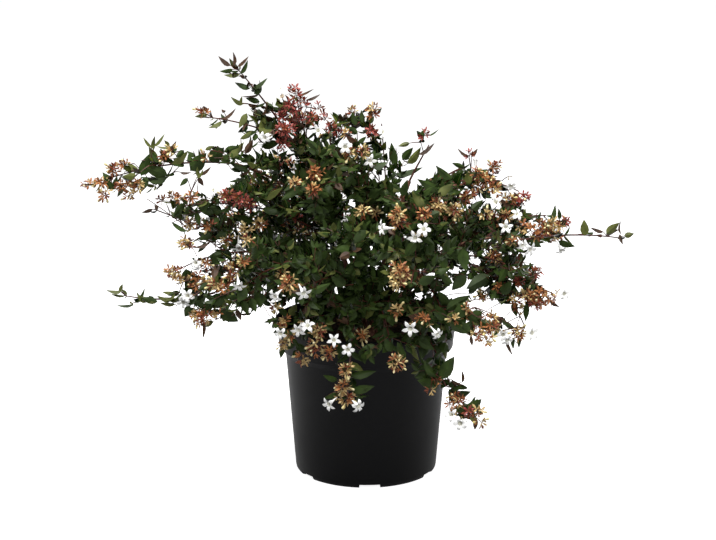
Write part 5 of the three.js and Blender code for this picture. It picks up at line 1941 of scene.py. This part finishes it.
def build_chips():
    """Chips of bark and crumbs of peat that lie on the soil."""
    chance = Dice(CHIP_SEED)
    places, ways, sizes, uppers = [], [], [], []
    stems = [b.line.points[0][:2] for b in limbs.values()]
    while len(places) < CHIP_COUNT:
        reach = (BAND_BOTTOM_RADIUS - CHIP_EDGE_CLEAR) * math.sqrt(chance.roll())
        place = azimuth_place(chance.between(0, 360), reach, SOIL_TOP - CHIP_SUNK)
        long = chance.between(*CHIP_LENGTHS)
        way = np.array([chance.within(1), chance.within(1), chance.within(CHIP_TILT)])
        if min(np.linalg.norm(place[:2] - stem) for stem in stems) < CHIP_STEM_CLEAR + long:
            continue
        places.append(place)
        ways.append(way)
        sizes.append((long * CHIP_WIDTH_SHARE, long, long * CHIP_THICK_SHARE))
        uppers.append(UP + np.array([chance.within(CHIP_TILT), chance.within(CHIP_TILT), 0]))
    heap = Heap()
    heap.stamp(CHIP_FORM, np.array(places), frames_of(np.array(ways), np.array(uppers)), np.array(sizes))
    small_things("bark_chips", heap, (CHIP_FINISH,), crease=30)


# Studio, in metres and watts
FLOOR_SIZE = 400
FLOOR_GLOW = 0.9
WORLD_LIGHT = 0.1
# Each soft light's place, the place it faces, its width and height, and its power.
SOFTBOXES = {
    "softbox_above": ((-0.2, -0.5, 2.4), (0, 0, 0.35), (1.2, 1.2), 90),
    "softbox_front": ((0.3, -2.6, 1.65), (0, 0, 0.33), (1.4, 1.1), 37),
    "softbox_left": ((-1.9, 0.1, 0.9), (0, 0, 0.3), (0.7, 1.8), 8),
    "softbox_right": ((1.9, 0.1, 0.9), (0, 0, 0.3), (0.7, 1.8), 8),
}


def build_floor():
    deselect_all()
    bpy.ops.mesh.primitive_plane_add(size=FLOOR_SIZE)
    floor = bpy.context.object
    floor.name = "pale_floor"
    settings = {"Base Color": srgb("#F2F2F2"), "Roughness": 0.9}
    glowing = {"Emission Color": srgb("#FFFFFF"), "Emission Strength": FLOOR_GLOW}
    floor.data.materials.append(new_finish("pale_floor", {**settings, **glowing})[0])
    # The white floor glows for the eye, and throws no light up into the shade under the leaves.
    floor.visible_diffuse = False


def add_softbox(name, place, target, size, power):
    light = bpy.data.lights.new(name, "AREA")
    light.shape = "RECTANGLE"
    light.size, light.size_y = size
    light.energy = power
    box = link_object(name, light)
    box.location = place
    aim = np.array(target) - np.array(place)
    tilt = math.atan2(math.hypot(aim[0], aim[1]), -aim[2])
    box.rotation_euler = (tilt, 0, math.atan2(aim[1], aim[0]) - QUARTER)


def light_studio():
    world = bpy.data.worlds.new("studio")
    world.use_nodes = True
    background = world.node_tree.nodes["Background"]
    background.inputs["Color"].default_value = (1, 1, 1, 1)
    background.inputs["Strength"].default_value = WORLD_LIGHT
    bpy.context.scene.world = world
    for name, row in SOFTBOXES.items():
        add_softbox(name, *row)
    bpy.context.scene.view_settings.view_transform = "Standard"


def place_camera():
    lens = bpy.data.cameras.new("camera")
    lens.sensor_width = SENSOR_WIDTH
    lens.lens = FOCAL_PIXELS / PICTURE_WIDTH * SENSOR_WIDTH
    camera = link_object("camera", lens)
    camera.location = CAMERA_PLACE * MM
    camera.rotation_euler = (QUARTER - CAMERA_PITCH, 0, 0)
    bpy.context.scene.camera = camera


build_pot()
build_soil()
build_chips()
for limb in limbs.values():
    build_limb(limb)
build_twigs()
for tint in LEAF_TOPS:
    build_leaves(tint, "left")
    build_leaves(tint, "right")
build_blossom()
build_floor()
light_studio()
place_camera()
